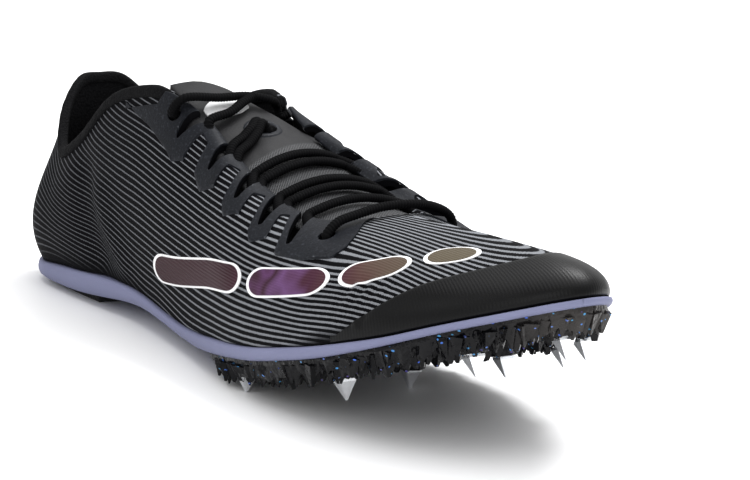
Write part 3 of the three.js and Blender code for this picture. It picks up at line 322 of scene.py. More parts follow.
def loft(name, sections, looped=False, weave=None, tone=None):
    """Closed skin over a grid of points, section by section: every four neighbours make one face, the
    sections are closed rings, and the two ends are closed by one face each unless the row of sections
    is looped. weave and tone are maps of two values a point."""
    sections = np.asarray(sections, float)
    count, size = sections.shape[:2]
    last = count if looped else count - 1
    i, j = np.meshgrid(np.arange(last), np.arange(size), indexing="ij")
    ahead = (i + 1) % count
    beside = (j + 1) % size
    quads = np.stack([i * size + j, ahead * size + j, ahead * size + beside, i * size + beside], -1)
    faces = quads.reshape(-1, 4).tolist()
    if not looped:
        faces.append(list(range(size)))
        faces.append(list(range(count * size - 1, (count - 1) * size - 1, -1)))
    points = in_metres(sections.reshape(-1, 3))
    mesh = bpy.data.meshes.new(name)
    mesh.from_pydata(points.tolist(), [], faces)
    for label, values in (("weave", weave), ("tone", tone)):
        if values is not None:
            corners = np.zeros(len(mesh.loops), dtype=np.int32)
            mesh.loops.foreach_get("vertex_index", corners)
            layer = mesh.uv_layers.new(name=label)
            layer.data.foreach_set("uv", np.asarray(values, np.float32).reshape(-1, 2)[corners].ravel())
    corner = points[quads.reshape(-1, 4)]
    volume = (np.cross(corner[:, 0], corner[:, 1]) * corner[:, 2]).sum()
    volume += (np.cross(corner[:, 0], corner[:, 2]) * corner[:, 3]).sum()
    if volume < 0:
        mesh.flip_normals()
    return put_in_scene(name, mesh)


def carve(piece, cutters, operation):
    """Cuts a piece with closed solids one after another, keeps the result as its mesh, and removes the
    cutters."""
    for cutter in cutters:
        modifier = piece.modifiers.new(cutter.name, "BOOLEAN")
        modifier.operation = operation
        modifier.solver = "MANIFOLD"
        modifier.object = cutter
    graph = bpy.context.evaluated_depsgraph_get()
    shape = bpy.data.meshes.new_from_object(piece.evaluated_get(graph), preserve_all_data_layers=True,
                                            depsgraph=graph)
    piece.modifiers.clear()
    piece.data = shape
    for cutter in cutters:
        bpy.data.meshes.remove(cutter.data)


def smooth(piece, degrees):
    """Smooth shading, with a sharp line where two faces meet at more than the given angle."""
    with bpy.context.temp_override(object=piece, active_object=piece, selected_editable_objects=[piece]):
        bpy.ops.object.shade_smooth_by_angle(angle=math.radians(degrees))


def paint(piece, *materials):
    """Gives a piece these materials in place of its own."""
    piece.data.materials.clear()
    for material in materials:
        piece.data.materials.append(material)


def shade(tree, kind, inputs, **settings):
    """Adds a shader node, sets its settings and its inputs, and links the inputs that are sockets."""
    node = tree.nodes.new(kind)
    for key, value in settings.items():
        setattr(node, key, value)
    for key, value in inputs.items():
        if isinstance(value, bpy.types.NodeSocket):
            tree.links.new(value, node.inputs[key])
        else:
            node.inputs[key].default_value = value
    return node


def maths(tree, operation, first, second=0.0):
    """One sum of two numbers."""
    return shade(tree, "ShaderNodeMath", {0: first, 1: second}, operation=operation).outputs[0]


def ramp(tree, value, low, high, start=0.0, end=1.0):
    """Smooth step from start to end as a value goes from low to high."""
    inputs = {"Value": value, "From Min": low, "From Max": high, "To Min": start, "To Max": end}
    return shade(tree, "ShaderNodeMapRange", inputs, interpolation_type="SMOOTHSTEP").outputs["Result"]


def blend_colours(tree, share, first, second):
    """Mix of two colours by a share."""
    return shade(tree, "ShaderNodeMix", {0: share, 6: first, 7: second}, data_type="RGBA").outputs[2]


def noise(tree, place, scale, detail=2.0):
    """Soft noise from 0 to 1."""
    inputs = {"Vector": place, "Scale": scale, "Detail": detail}
    return shade(tree, "ShaderNodeTexNoise", inputs).outputs[0]


def swing(tree, value, size):
    """A value from 0 to 1 turned into one that runs as far to both sides of 0, over a size in all."""
    return maths(tree, "MULTIPLY", maths(tree, "SUBTRACT", value, 0.5), size)


def wave(tree, value, pitch):
    """Even wave from -1 to 1 that comes back once a pitch."""
    return maths(tree, "SINE", maths(tree, "MULTIPLY", value, 2 * math.pi / pitch))


def stretched(tree, place, factors):
    """Place with each direction multiplied by its own factor."""
    return shade(tree, "ShaderNodeVectorMath", {0: place, 1: factors}, operation="MULTIPLY").outputs[0]


def own_place(tree):
    """Place on the piece, in metres."""
    return shade(tree, "ShaderNodeTexCoord", {}).outputs["Object"]


def own_map(tree, name):
    """One of the piece's own maps, and its two values."""
    place = shade(tree, "ShaderNodeUVMap", {}, uv_map=name).outputs[0]
    parts = shade(tree, "ShaderNodeSeparateXYZ", {0: place})
    return place, parts.outputs[0], parts.outputs[1]


def bumped(tree, height, distance, strength=1.0, under=None):
    """Surface direction bent by a height, in metres of real relief."""
    inputs = {"Height": height, "Distance": distance, "Strength": strength}
    if under is not None:
        inputs["Normal"] = under
    return shade(tree, "ShaderNodeBump", inputs).outputs["Normal"]


def finish_of(name, roughness, **values):
    """New material with its uniform values straight on the shader, and its node tree and shader."""
    material = bpy.data.materials.new(name)
    material.use_nodes = True
    shader = material.node_tree.nodes["Principled BSDF"]
    shader.inputs["Roughness"].default_value = roughness
    for key, value in values.items():
        shader.inputs[key.replace("_", " ")].default_value = value
    return material, material.node_tree, shader


def lay(tree, shader, colour, normal, roughness=None):
    """Links a colour, a bent surface direction and, where given, a roughness to the shader."""
    tree.links.new(colour, shader.inputs["Base Color"])
    tree.links.new(normal, shader.inputs["Normal"])
    if roughness is not None:
        tree.links.new(roughness, shader.inputs["Roughness"])


def looped_finish(name, roughness, scale, middle, rim, relief, **values):
    """Material of small round cells, as knitted loops or pebbles are: its colour and its height follow
    the distance from the middle of each cell."""
    material, tree, shader = finish_of(name, roughness, **values)
    cells = shade(tree, "ShaderNodeTexVoronoi", {"Vector": own_place(tree), "Scale": scale})
    distance = cells.outputs["Distance"]
    lay(tree, shader, blend_colours(tree, distance, middle, rim), bumped(tree, distance, relief))
    return material


# Numbers of the woven lines where each rib of the outer side, from the heel to the toe, has a quarter of
# its height. The inner side is the mirror image.
line_numbers = np.array([
    (-1.4, 3.6, 8.7, 14.5, 19.9), (-3.6, 0.9, 6.4, 12.8, 18.3), (-6.4, -1.6, 3.8, 10.6, 15.8),
    (-6.8, -1.4, 4.2, 10.0, 14.8), (-3.1, 2.9, 9.4, 15.5, 20.5), (4.2, 10.0, 15.9, 22.4, 30.4),
    (5.1, 12.2, 18.9, 26.5, 35.8), (6.3, 13.8, 22.7, 31.3, 38.6), (6.9, 15.3, 25.2, 33.8, 39.5),
    (7.6, 15.8, 24.9, 32.1, 38.6), (8.4, 16.4, 24.7, 30.5, 36.5), (9.5, 17.6, 24.6, 29.2, 34.4),
    (11.5, 18.2, 24.6, 27.8, 33.1), (15.2, 20.9, 25.6, 30.0, 34.6), (20.9, 26.8, 30.9, 34.2, 37.6),
    (25.6, 32.0, 36.0, 38.4, 40.6), (27.4, 34.0, 38.4, 41.0, 43.0),
])
line_numbers = np.concatenate([line_numbers, line_numbers[15:0:-1]])
line_heights = np.linspace(0, 1, 5)


def stripe_numbers(ribs, along):
    """Number of the woven line on a rib at a height: each column of the table is read at the rib number
    as the rib table is, and weighs as much as the open curve through the five heights gives it."""
    ribs, along = np.broadcast_arrays(np.asarray(ribs, float), np.asarray(along, float))
    total = np.zeros(ribs.shape)
    for values, weight in zip(line_numbers.T, np.eye(len(line_heights))):
        total = total + ring_curve(values, ribs) * open_value(line_heights, weight, along)
    return total


rib_steps = 510
wall_rows = 64
rim_rows = 4
# Ribs stand closer together over the creases of the toe.
ribs = np.interp(np.arange(rib_steps), [0, 150, 290, rib_steps], [0, 11.2, 13.8, rib_count])[:, None]
rise_steps = np.linspace(0, 1, wall_rows + 1)[None, :]
rim_turn = np.linspace(0, np.pi, rim_rows + 2)[1:-1]
face = wall_point(ribs, rise_steps, 0.0)
back_face = wall_point(ribs, rise_steps[:, ::-1], -wall)
upward = rib_point(ribs, 1.0) - rib_point(ribs, 0.97)
upward = upward / np.linalg.norm(upward, axis=-1, keepdims=True)
rim = (wall_point(ribs, 1.0, -wall / 2 + wall / 2 * np.cos(rim_turn)[None, :])
       + upward * (0.35 * wall / 2 * np.sin(rim_turn))[None, :, None])
upper_sections = np.concatenate([face, rim, back_face], axis=1)
height_share = np.concatenate([rise_steps[0], np.ones(rim_rows), rise_steps[0, ::-1]])[None, :]
stripe = stripe_numbers(ribs, height_share)
x_place = upper_sections[..., 0]
z_place = upper_sections[..., 2]
# The lines grow brighter towards the toe, and fade out into plain black this far above the foam.
shine = np.interp(x_place, [0, 60, 130, 185, 288], [0.24, 0.32, 0.60, 0.92, 0.92])
plain_rise = np.interp(x_place, [0, 40, 70, 95, 130, 190, 215], [4.5, 4.0, 3.0, 0.5, -4.0, -4.0, 3.5])
fade_height = 5.0
shown = np.clip((z_place - sole_top(x_place) - plain_rise) / fade_height + 0.5, 0, 1)
map_unit = 2.2
upper = loft(
    "upper_textile", upper_sections, looped=True,
    weave=np.stack([stripe, x_place / map_unit], -1), tone=np.stack([shine, shown], -1),
)

# Slots of the lacing: rib number of the mouth, and where the slot ends, as forward and outward shares
# of the slot depth. Eyelets: rib number and height share.
slot_depth = 14.0
slot_width = 5.8
outer_slots = np.array([(8.03, -.35, .66), (9.02, .13, .78), (9.92, .45, .90), (10.79, .63, 1.02),
                        (11.71, .85, 1.10)])
inner_slots = np.array([(24.34, -.35, .38), (22.81, .13, .58), (21.80, .40, .72), (20.77, .55, .86),
                        (19.73, .75, .96)])
outer_eyelets = np.array([(7.09, .888), (12.09, .762)])
inner_eyelets = np.array([(25.05, .888), (19.70, .800)])
eyelet_radius = 2.9


def rounded(corners, radius, steps=6):
    """Closed outline with its corners rounded: each corner becomes a parabola between two points on its
    sides, a radius away or less than half the side."""
    before = np.roll(corners, 1, axis=0) - corners
    after = np.roll(corners, -1, axis=0) - corners
    before_length = np.linalg.norm(before, axis=1, keepdims=True)
    after_length = np.linalg.norm(after, axis=1, keepdims=True)
    start = corners + before * np.minimum(radius / before_length, 0.45)
    end = corners + after * np.minimum(radius / after_length, 0.45)
    t = np.linspace(0, 1, steps)[None, :, None]
    curve = start[:, None] * (1 - t) ** 2 + 2 * corners[:, None] * t * (1 - t) + end[:, None] * t * t
    return curve.reshape(-1, 2)


def prism(name, outline, low=30.0, high=130.0):
    """Upright cutter over a plan outline."""
    rings = np.stack([np.column_stack([outline, np.full(len(outline), height)]) for height in (low, high)])
    return loft(name, rings)


def slot_frame(mouth, forward, out, side, shares, halves):
    """Plan points at depth shares along a slot's axis and half widths across it."""
    axis = np.array([forward, side * out]) * slot_depth
    direction = axis / np.linalg.norm(axis)
    across = np.array([-direction[1], direction[0]])
    return mouth + np.outer(shares, axis) + np.outer(halves, across)


def slot_outline(slot, side, grow=0.0):
    """Outline of one slot: a wide mouth that reaches past the throat's edge, and a narrow round end."""
    mouth = rib_point(slot[0], 1.0)[:2]
    wide = slot_width / 2 + grow
    tip = slot_width * 0.17 + grow
    shares = np.array([-0.45, 0.10, 0.60, 0.97, 0.97, 0.60, 0.10, -0.45])
    halves = np.array([-wide, -wide, -wide * 0.74, -tip, tip, wide * 0.74, wide, wide])
    return rounded(slot_frame(mouth, slot[1], slot[2], side, shares, halves), 1.2)


def eyelet_bar(name, eyelet, radius=eyelet_radius):
    """Round cutter through the wall, along the face's normal."""
    centre = rib_point(eyelet[0], eyelet[1])
    normal = rib_normal(eyelet[0], eyelet[1])
    side = np.cross(normal, (0.0, 0.0, 1.0))
    side = side / np.linalg.norm(side)
    turn = np.linspace(0, 2 * np.pi, 28, endpoint=False)[:, None]
    circle = centre + radius * (np.cos(turn) * side + np.sin(turn) * np.cross(normal, side))
    return loft(name, np.stack([circle - 6 * normal, circle + 6 * normal]))


def lacing_cutters(grow=0.0):
    """All slots and eyelets as cutters."""
    cutters = [prism("slot", slot_outline(slot, -1, grow)) for slot in outer_slots]
    cutters += [prism("slot", slot_outline(slot, 1, grow)) for slot in inner_slots]
    cutters += [eyelet_bar("eyelet", eyelet) for eyelet in np.vstack([outer_eyelets, inner_eyelets])]
    return cutters


# The weave map counts lines up the wall and stitches along it. The tone map holds the lines' brightness
# and how much of them shows.
stitch_pitch = 0.36319
textile, tree, shader = finish_of("striped_textile", 0.66, Specular_IOR_Level=0.07)
weave_map, line_count, stitch_count = own_map(tree, "weave")
brightness, share_shown = own_map(tree, "tone")[1:]
serration = noise(tree, stretched(tree, weave_map, (2.0, 9.0, 1.0)), 1.0, 1.0)
wander = noise(tree, weave_map, 0.35, 1.0)
sway = maths(tree, "ADD", swing(tree, serration, 0.22), swing(tree, wander, 0.10))
line_place = maths(tree, "FRACT", maths(tree, "ADD", line_count, sway))
line_distance = maths(tree, "ABSOLUTE", maths(tree, "SUBTRACT", line_place, 0.5))
stitch = wave(tree, maths(tree, "ADD", stitch_count, wander), stitch_pitch)
line_half = ramp(tree, brightness, 0.50, 0.95, 0.120, 0.215)
line_half = maths(tree, "ADD", line_half, maths(tree, "MULTIPLY", stitch, 0.025))
line = ramp(tree, maths(tree, "SUBTRACT", line_distance, line_half), -0.035, 0.035, 1.0, 0.0)
line = maths(tree, "MULTIPLY", line, share_shown)
yarn = noise(tree, stretched(tree, weave_map, (8.0, 14.0, 1.0)), 1.0, 2.0)
line_light = ramp(tree, brightness, 0.15, 0.65, 0.22, 0.62)
line_light = maths(tree, "MULTIPLY", line_light, ramp(tree, yarn, 0.25, 0.7, 0.6, 1.0))
ground = blend_colours(tree, yarn, (0.0015, 0.0015, 0.002, 1.0), (0.005, 0.005, 0.007, 1.0))
silver = blend_colours(tree, maths(tree, "MULTIPLY", line, line_light), ground, (0.415, 0.43, 0.46, 1.0))
relief = maths(tree, "ADD", line, maths(tree, "MULTIPLY", yarn, 0.35))
lay(tree, shader, silver, bumped(tree, relief, 0.00022, 0.8))
lining = looped_finish("black_lining", 0.85, 1300.0, (0.010, 0.010, 0.011, 1.0), (0.004, 0.004, 0.005, 1.0),
                       0.0003, Specular_IOR_Level=0.10)
paint(upper, textile, lining)
ring_size = upper_sections.shape[1]
inside = np.tile(np.arange(ring_size) > wall_rows + 2, rib_steps).astype(np.int32)
upper.data.polygons.foreach_set("material_index", inside)
carve(upper, lacing_cutters(), "DIFFERENCE")
smooth(upper, 50)
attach(upper, "root")
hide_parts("upper")


# Toe cap
# Thin black film pressed over the front of the textile, from the foam up to a curved edge. It has a
# soft sheen and fine ribs that run up from the sole.
film_thickness = 0.6
cap_edge_rib = np.array([11.9, 12.57, 13.1, 13.7, 14.54, 15.5, 16.2, 17, 18, 19, 20, 20.8, 21.4])
cap_edge_along = np.array([.045, .171, .251, .316, .359, .396, .425, .440, .430, .380, .280, .160, .045])


def film_sections(rib_line, low, high, rows, lift, thickness):
    """Rings round a film that lies on the upper: up its outer face from the lower to the upper edge and
    back down its inner face, with the outer face drawn in a little at both edges."""
    share = np.linspace(0, 1, rows)[None, :]
    along = low[:, None] + (high - low)[:, None] * share
    soft_edge = thickness * (1 - 0.7 * np.exp(-np.minimum(share, 1 - share) * rows / 0.8))
    outer = wall_point(rib_line[:, None], along, lift + soft_edge)
    inner = wall_point(rib_line[:, None], along[:, ::-1], lift)
    return np.concatenate([outer, inner], axis=1), np.concatenate([along, along[:, ::-1]], axis=1)


cap_ribs = np.linspace(11.80, 21.45, 300)
cap_low = np.full(300, 0.006)
cap_high = np.maximum(open_value(cap_edge_rib, cap_edge_along, cap_ribs), 0.03)
cap_sections, cap_along = film_sections(cap_ribs, cap_low, cap_high, 34, 0.05, film_thickness)
edge_x, edge_y = edge_point(cap_ribs, 0.0)
edge_run = np.concatenate([[0], np.cumsum(np.hypot(np.diff(edge_x), np.diff(edge_y)))])
cap_run = np.broadcast_to(edge_run[:, None], cap_along.shape)
toe_cap = loft("toe_cap_film", cap_sections, weave=np.stack([cap_run, cap_along * 40], -1))

cap_rib_pitch = 1.15
black_film, tree, shader = finish_of("black_film", 0.36, Specular_IOR_Level=0.24)
place = own_place(tree)
cloud = noise(tree, place, 60.0, 3.0)
grain = noise(tree, place, 2600.0, 2.0)
film_ribs = bumped(tree, wave(tree, own_map(tree, "weave")[1], cap_rib_pitch), 0.00005, 0.28)
dull = ramp(tree, maths(tree, "ADD", cloud, maths(tree, "MULTIPLY", grain, 0.4)), 0.3, 1.1, 0.30, 0.46)
lay(tree, shader, blend_colours(tree, cloud, (0.001, 0.001, 0.0012, 1.0), (0.003, 0.003, 0.0036, 1.0)),
    bumped(tree, grain, 0.00004, 0.7, film_ribs), dull)
paint(toe_cap, black_film)
smooth(toe_cap, 50)
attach(toe_cap, "root")
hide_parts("toe_cap")


# Eyestays
# Dark blue-grey film combs, heat-pressed round the slots of each side, with an open window in every
# finger, a top panel round the highest eyelet and a front panel round the lowest one.
stay_thickness = 0.6
stay_lift = 0.06
outer_edge = np.array([(5.64, .955), (6.40, .828), (6.90, .700), (7.40, .500), (9.00, .320), (14.60, .320)])
inner_edge = np.array([(17.30, .300), (21.50, .360), (23.00, .440), (24.00, .500), (25.20, .700),
                       (26.40, .940)])
outer_panel = np.array([(.64, 1.30), (1.60, 1.22), (2.40, .96), (2.45, .60), (2.20, .20), (1.57, -.50),
                        (1.40, -.90)])
inner_panel = np.array([(.60, 1.30), (1.20, 1.25), (1.70, .95), (1.80, .45), (1.70, -.20), (1.55, -.90)])
# How far the comb's points lie past the ends of the slots, in slot depths.
finger_ends = np.array([(-0.08, 0.17), (-0.12, 0.24), (0.00, 0.27), (0.00, 0.27)])


def comb_outline(slots, side, panel):
    """Plan outline of an eyestay: all that lies towards the ankle, a zigzag round the slots' ends, and
    the panel round the front eyelet."""
    mouths = rib_point(slots[:, 0], 1.0)[:, :2]
    turned = np.array([1.0, side]) * slot_depth
    middles = (mouths[:-1] + mouths[1:]) / 2 + (slots[:-1, 1:] + slots[1:, 1:]) / 2 * turned
    ends = mouths[1:] + (slots[1:, 1:] + finger_ends) * turned
    zigzag = np.stack([middles, ends], 1).reshape(-1, 2)[:-1]
    start = np.array([
        (0.0, 0.0),
        (0.0, side * 2 * half_width),
        (mouths[0, 0] - 0.20 * slot_depth, side * 2 * half_width),
    ])
    first = mouths[:1] + np.array([[-0.36, slots[0, 2] + 0.14]]) * turned
    rim_end = np.array([[mouths[-1, 0], 0.0]])
    return np.concatenate([start, first, zigzag, mouths[-1] + panel * turned, rim_end])


def window_outline(slots, k, side):
    """Plan outline of the open window in the finger between slot k and the next one."""
    rear, front = rib_point(slots[k:k + 2, 0], 1.0)[:, :2]
    forward, out = (slots[k, 1:] + slots[k + 1, 1:]) / 2
    length = math.hypot(forward, out)
    half = 0.5 * np.linalg.norm(front - rear) * out / length
    border = slot_width * 0.40
    narrow = half - slot_width * 0.42 - border
    wide = half - slot_width * 0.20 - border
    shares = np.array([max(0.42, 0.38 / length), 1.0, 2.2, 2.2, 1.0, max(0.42, 0.38 / length)])
    halves = np.array([-narrow, -wide, -wide, wide, wide, narrow])
    return rounded(slot_frame((rear + front) / 2, forward, out, side, shares, halves), 0.7)


def eyestay(name, edge, slots, side, panel):
    """Film on the wall between the edge line and the top line, cut to the comb's outline, with slots,
    eyelets and windows cut through."""
    rib_line = np.linspace(edge[0, 0], edge[-1, 0], 380)
    low = np.interp(rib_line, edge[:, 0], edge[:, 1])
    near_heel = np.minimum(rib_line, rib_count - rib_line)
    margin = np.interp(near_heel, [6.6, 6.8], [0.075, 0.004])
    sections = film_sections(rib_line, low, 1 - margin, 70, stay_lift, stay_thickness)[0]
    film = loft(name, sections)
    carve(film, [prism("comb", rounded(comb_outline(slots, side, panel), 1.1))], "INTERSECT")
    cutters = lacing_cutters(-0.12)
    cutters += [prism("window", window_outline(slots, k, side)) for k in range(len(slots) - 1)]
    carve(film, cutters, "DIFFERENCE")
    return film


grey_film, tree, shader = finish_of("grey_film", 0.48, Specular_IOR_Level=0.22)
place = own_place(tree)
cloud = noise(tree, place, 90.0, 3.0)
grain = noise(tree, place, 2200.0, 3.0)
# Convex edges and slot ends of the film are painted a paler grey: a painted highlight along the rims, where
# light catches them.
painted_edge_highlight = ramp(tree, shade(tree, "ShaderNodeNewGeometry", {}).outputs["Pointiness"], 0.53, 0.66)
film_colour = blend_colours(tree, cloud, (0.0055, 0.0063, 0.009, 1.0), (0.0115, 0.0135, 0.019, 1.0))
speckle = ramp(tree, noise(tree, place, 1100.0, 2.0), 0.52, 0.78, 0.0, 0.6)
film_colour = blend_colours(tree, speckle, film_colour, (0.045, 0.049, 0.060, 1.0))
film_colour = blend_colours(tree, painted_edge_highlight, film_colour, (0.075, 0.080, 0.090, 1.0))
lay(tree, shader, film_colour, bumped(tree, grain, 0.00012, 0.9), ramp(tree, grain, 0.2, 0.8, 0.40, 0.60))

for name, edge, slots, side, panel in (
    ("eyestay_film_outer", outer_edge, outer_slots, -1, outer_panel),
    ("eyestay_film_inner", inner_edge, inner_slots, 1, inner_panel),
):
    film = eyestay(name, edge, slots, side, panel)
    paint(film, grey_film)
    smooth(film, 40)
    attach(film, "root")
    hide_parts(name.replace("_film", ""))


# Collar binding
# Soft black knitted tape folded over the collar's edge from the inside to the outside, round the heel
# and forward to the eyestays, where it tapers out.
binding_end = 7.0
binding_ribs = np.linspace(-binding_end, binding_end, 330)
fade = np.clip((binding_end - np.abs(binding_ribs)) / 0.5, 0.15, 1)[:, None]
# The tape's section as distance out of the wall and height over its rim, in millimetres.
tape_out = np.array([0.10, 0.62, 0.98, 1.12, 1.10, 0.86, 0.30, -0.50, -1.30, -2.00, -2.62, -2.95, -3.00,
                     -2.80, -2.30, -1.85, -1.82, -1.84, 0.06, 0.06])
tape_up = np.array([-3.10, -3.00, -2.40, -1.40, -0.20, 0.62, 1.12, 1.28, 1.26, 1.00, 0.42, -0.50, -1.60,
                    -2.70, -3.05, -3.10, -1.20, 0.16, 0.20, -1.40])
depth_unit = wall_point(binding_ribs, 1.0, 0.0) - wall_point(binding_ribs, 0.95, 0.0)
up_unit = depth_unit / np.linalg.norm(depth_unit, axis=-1, keepdims=True)
per_millimetre = 0.05 / np.linalg.norm(depth_unit, axis=-1, keepdims=True)
outer_fold = np.where(tape_out > 0, np.interp(np.abs(binding_ribs), [1.6, 3.0], [0.30, 1.0])[:, None], 1.0)
below = np.minimum(tape_up, 0.0)[None, :] * per_millimetre * outer_fold
fade = fade * np.interp(np.abs(binding_ribs), [1.6, 3.0], [0.55, 1.0])[:, None]
above = np.maximum(tape_up, 0.0)[None, :] * fade
pucker = 0.05 * np.sin(binding_ribs * 21.0)[:, None] * (tape_out > 0)[None, :]
out_from_wall = np.where(tape_out[None, :] > 0, tape_out * fade + pucker, -wall + (tape_out + wall) * fade)
out_from_wall = np.where((tape_out > -1.8) & (tape_out < 0), tape_out, out_from_wall)
binding_sections = (wall_point(binding_ribs[:, None], 1.0 + below, out_from_wall)
                    + up_unit[:, None, :] * above[..., None])
binding = loft("collar_binding_tape", binding_sections)
paint(binding, looped_finish("binding_tape", 0.80, 1500.0, (0.011, 0.011, 0.012, 1.0),
                             (0.004, 0.004, 0.005, 1.0), 0.00025, Specular_IOR_Level=0.12))
smooth(binding, 60)
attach(binding, "root")
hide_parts("collar_binding")


# Tongue
# A thin padded strip under the throat: a grey film face over its top half, with a plain pale label and
# an oval keeper, glossy diagonal mesh below, and black lining behind. Its top end is free.
tongue_thickness = 2.4
tongue_crown = 3.8
tongue_wing = 0.16
tongue_front = 14.4
tongue_top = 7.4667
tongue_hem = 0.28
tongue_clearance = wall + 0.6
# How far the outer side wing goes down the wall, as a share of the rib, behind and in front of the keeper.
wing_rib = np.array([8.4, 9.6])
wing_drop = np.array([0.27, 0.143])
# How far the tongue reaches from the outer to the inner edge of the throat, on its way to the front.
reach_rib = np.array([7.20, 8.00, 8.70, 9.60, 14.40])
reach_share = np.array([0.48, 0.64, 0.79, 1.0, 1.0])


def tongue_point(ribs, across, depth):
    """Point at a depth under the tongue's face. Its two wings follow the wall's inside below the throat
    edges. Between them it is a straight line from edge to edge, raised by a parabola. Past its top
    end it runs on backward and a little up."""
    ribs, across, depth = np.broadcast_arrays(
        np.asarray(ribs, float), np.asarray(across, float), np.asarray(depth, float))
    past = np.maximum(tongue_top - ribs, 0.0) / tongue_hem
    rib = np.maximum(ribs, tongue_top - tongue_hem)
    down = -tongue_clearance - depth
    share = np.clip((across - tongue_wing) / (1 - 2 * tongue_wing), 0, 1)
    drop = np.interp(rib, wing_rib, wing_drop)
    outer = wall_point(rib, 1 - np.clip(1 - across / tongue_wing, 0, 1) * drop, down)
    inner = wall_point(rib_count - rib, 1 - np.clip(1 - (1 - across) / tongue_wing, 0, 1) * drop, down)
    point = outer * (1 - share)[..., None] + inner * share[..., None]
    crown = tongue_crown * np.minimum(1, (tongue_front - rib) / 2.4)
    point = point + (crown * 4 * share * (1 - share))[..., None] * np.array([0.0, 0.0, 1.0])
    past = past * (1 + 1.1 * np.clip(1 - across / 0.45, 0, 1))
    return point + past[..., None] * np.array([-5.18, 0.0, 1.81])


tongue_ribs = np.concatenate([np.linspace(7.19, 8.0, 40), np.linspace(8.0, 14.4, 200)[1:]])
tongue_share = np.interp(tongue_ribs, reach_rib, reach_share)
corner_cut = np.clip((7.50 - tongue_ribs) / 0.31, 0, 1)
tongue_share = tongue_share - 0.20 * (1 - np.sqrt(1 - 0.98 * corner_cut ** 2))
across_steps = np.linspace(0, 1, 61)[None, :]
tongue_across = across_steps * tongue_share[:, None]
edge_round = np.minimum(across_steps, 1 - across_steps) * 60
round_in = 0.9 * np.exp(-edge_round / 1.1)
end_round = 0.9 * np.exp(-(tongue_ribs - tongue_ribs[0]) / 0.02)[:, None]
round_in = np.maximum(round_in, end_round)
tongue_face = tongue_point(tongue_ribs[:, None], tongue_across, round_in)
tongue_back = tongue_point(tongue_ribs[:, None], tongue_across, tongue_thickness - round_in)[:, ::-1]
tongue_sections = np.concatenate([tongue_face, tongue_back], axis=1)
rib_map = np.broadcast_to(tongue_ribs[:, None], tongue_sections.shape[:2])
side_map = np.concatenate([np.zeros_like(tongue_across), np.ones_like(tongue_across)], axis=1)
tongue = loft("tongue_pad", tongue_sections, tone=np.stack([rib_map, side_map], -1))

keeper_length = 10.5
keeper_width = 5.5
keeper_rib = 8.80
keeper_centre = tongue_point(keeper_rib, 0.50, 0.0)
turn = np.linspace(0, 2 * np.pi, 40, endpoint=False)
oval = keeper_centre[:2] + 0.5 * np.column_stack([keeper_width * np.cos(turn), keeper_length * np.sin(turn)])
carve(tongue, [prism("keeper_hole", oval, keeper_centre[2] - 5, keeper_centre[2] + 5)], "DIFFERENCE")

# The tone map holds the rib number, for the line between film and mesh, and 1 on the tongue's back.
thread_pitch = 0.00075
thread_turn = 0.75
tongue_skin, tree, shader = finish_of("tongue_mesh", 0.5, Specular_IOR_Level=0.25)
rib_number, back_share = own_map(tree, "tone")[1:]
place = own_place(tree)
turned = shade(tree, "ShaderNodeMapping", {"Vector": place, "Rotation": (0.0, 0.0, thread_turn)})
cells = shade(tree, "ShaderNodeSeparateXYZ", {0: turned.outputs[0]})
warp, weft = (wave(tree, cells.outputs[side], thread_pitch) for side in (0, 1))
net = maths(tree, "MAXIMUM", warp, maths(tree, "MULTIPLY", weft, 0.7))
mesh_share = ramp(tree, rib_number, 9.45, 9.55)
grain = noise(tree, place, 1800.0, 2.0)
net_colour = blend_colours(tree, ramp(tree, net, -0.3, 0.9), (0.012, 0.012, 0.013, 1.0),
                           (0.105, 0.107, 0.112, 1.0))
film_colour = blend_colours(tree, grain, (0.018, 0.018, 0.0195, 1.0), (0.036, 0.036, 0.038, 1.0))
face_colour = blend_colours(tree, mesh_share, film_colour, net_colour)
relief = maths(tree, "ADD", maths(tree, "MULTIPLY", net, mesh_share), maths(tree, "MULTIPLY", grain, 0.5))
soft_folds = bumped(tree, noise(tree, place, 75.0, 1.0), 0.0030, 0.7)
lay(tree, shader, blend_colours(tree, back_share, face_colour, (0.006, 0.006, 0.007, 1.0)),
    bumped(tree, relief, 0.00018, 0.8, soft_folds), ramp(tree, mesh_share, 0.0, 1.0, 0.62, 0.40))
paint(tongue, tongue_skin)
smooth(tongue, 50)
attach(tongue, "root")
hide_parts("tongue")

# Keeper ring: a raised oval of film welded round the hole in the tongue.
ring_profile_out = np.array([0.0, 0.15, 0.9, 1.6, 1.9, 2.0])
ring_profile_up = np.array([-0.6, 0.35, 0.62, 0.55, 0.30, -0.6])
oval_out = np.column_stack([np.cos(turn), np.sin(turn)])
ring_points = oval[:, None, :] + oval_out[:, None, :] * ring_profile_out[None, :, None]
fall = tongue_point(keeper_rib + 0.2, 0.5, 0.0) - tongue_point(keeper_rib - 0.2, 0.5, 0.0)
slope = fall[2] / fall[0]
wings = tongue_point(keeper_rib, 1 - tongue_wing, 0.0) - tongue_point(keeper_rib, tongue_wing, 0.0)
side_offset = (ring_points[..., 1] - keeper_centre[1]) / (np.linalg.norm(wings[:2]) / 2)
ring_height = (keeper_centre[2] + slope * (ring_points[..., 0] - keeper_centre[0])
               - tongue_crown * side_offset ** 2 + ring_profile_up[None, :])
ring_sections = np.concatenate([ring_points, ring_height[..., None]], -1)
keeper_ring = loft("tongue_keeper_ring", ring_sections, looped=True)
paint(keeper_ring, grey_film)
smooth(keeper_ring, 60)
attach(keeper_ring, "root")


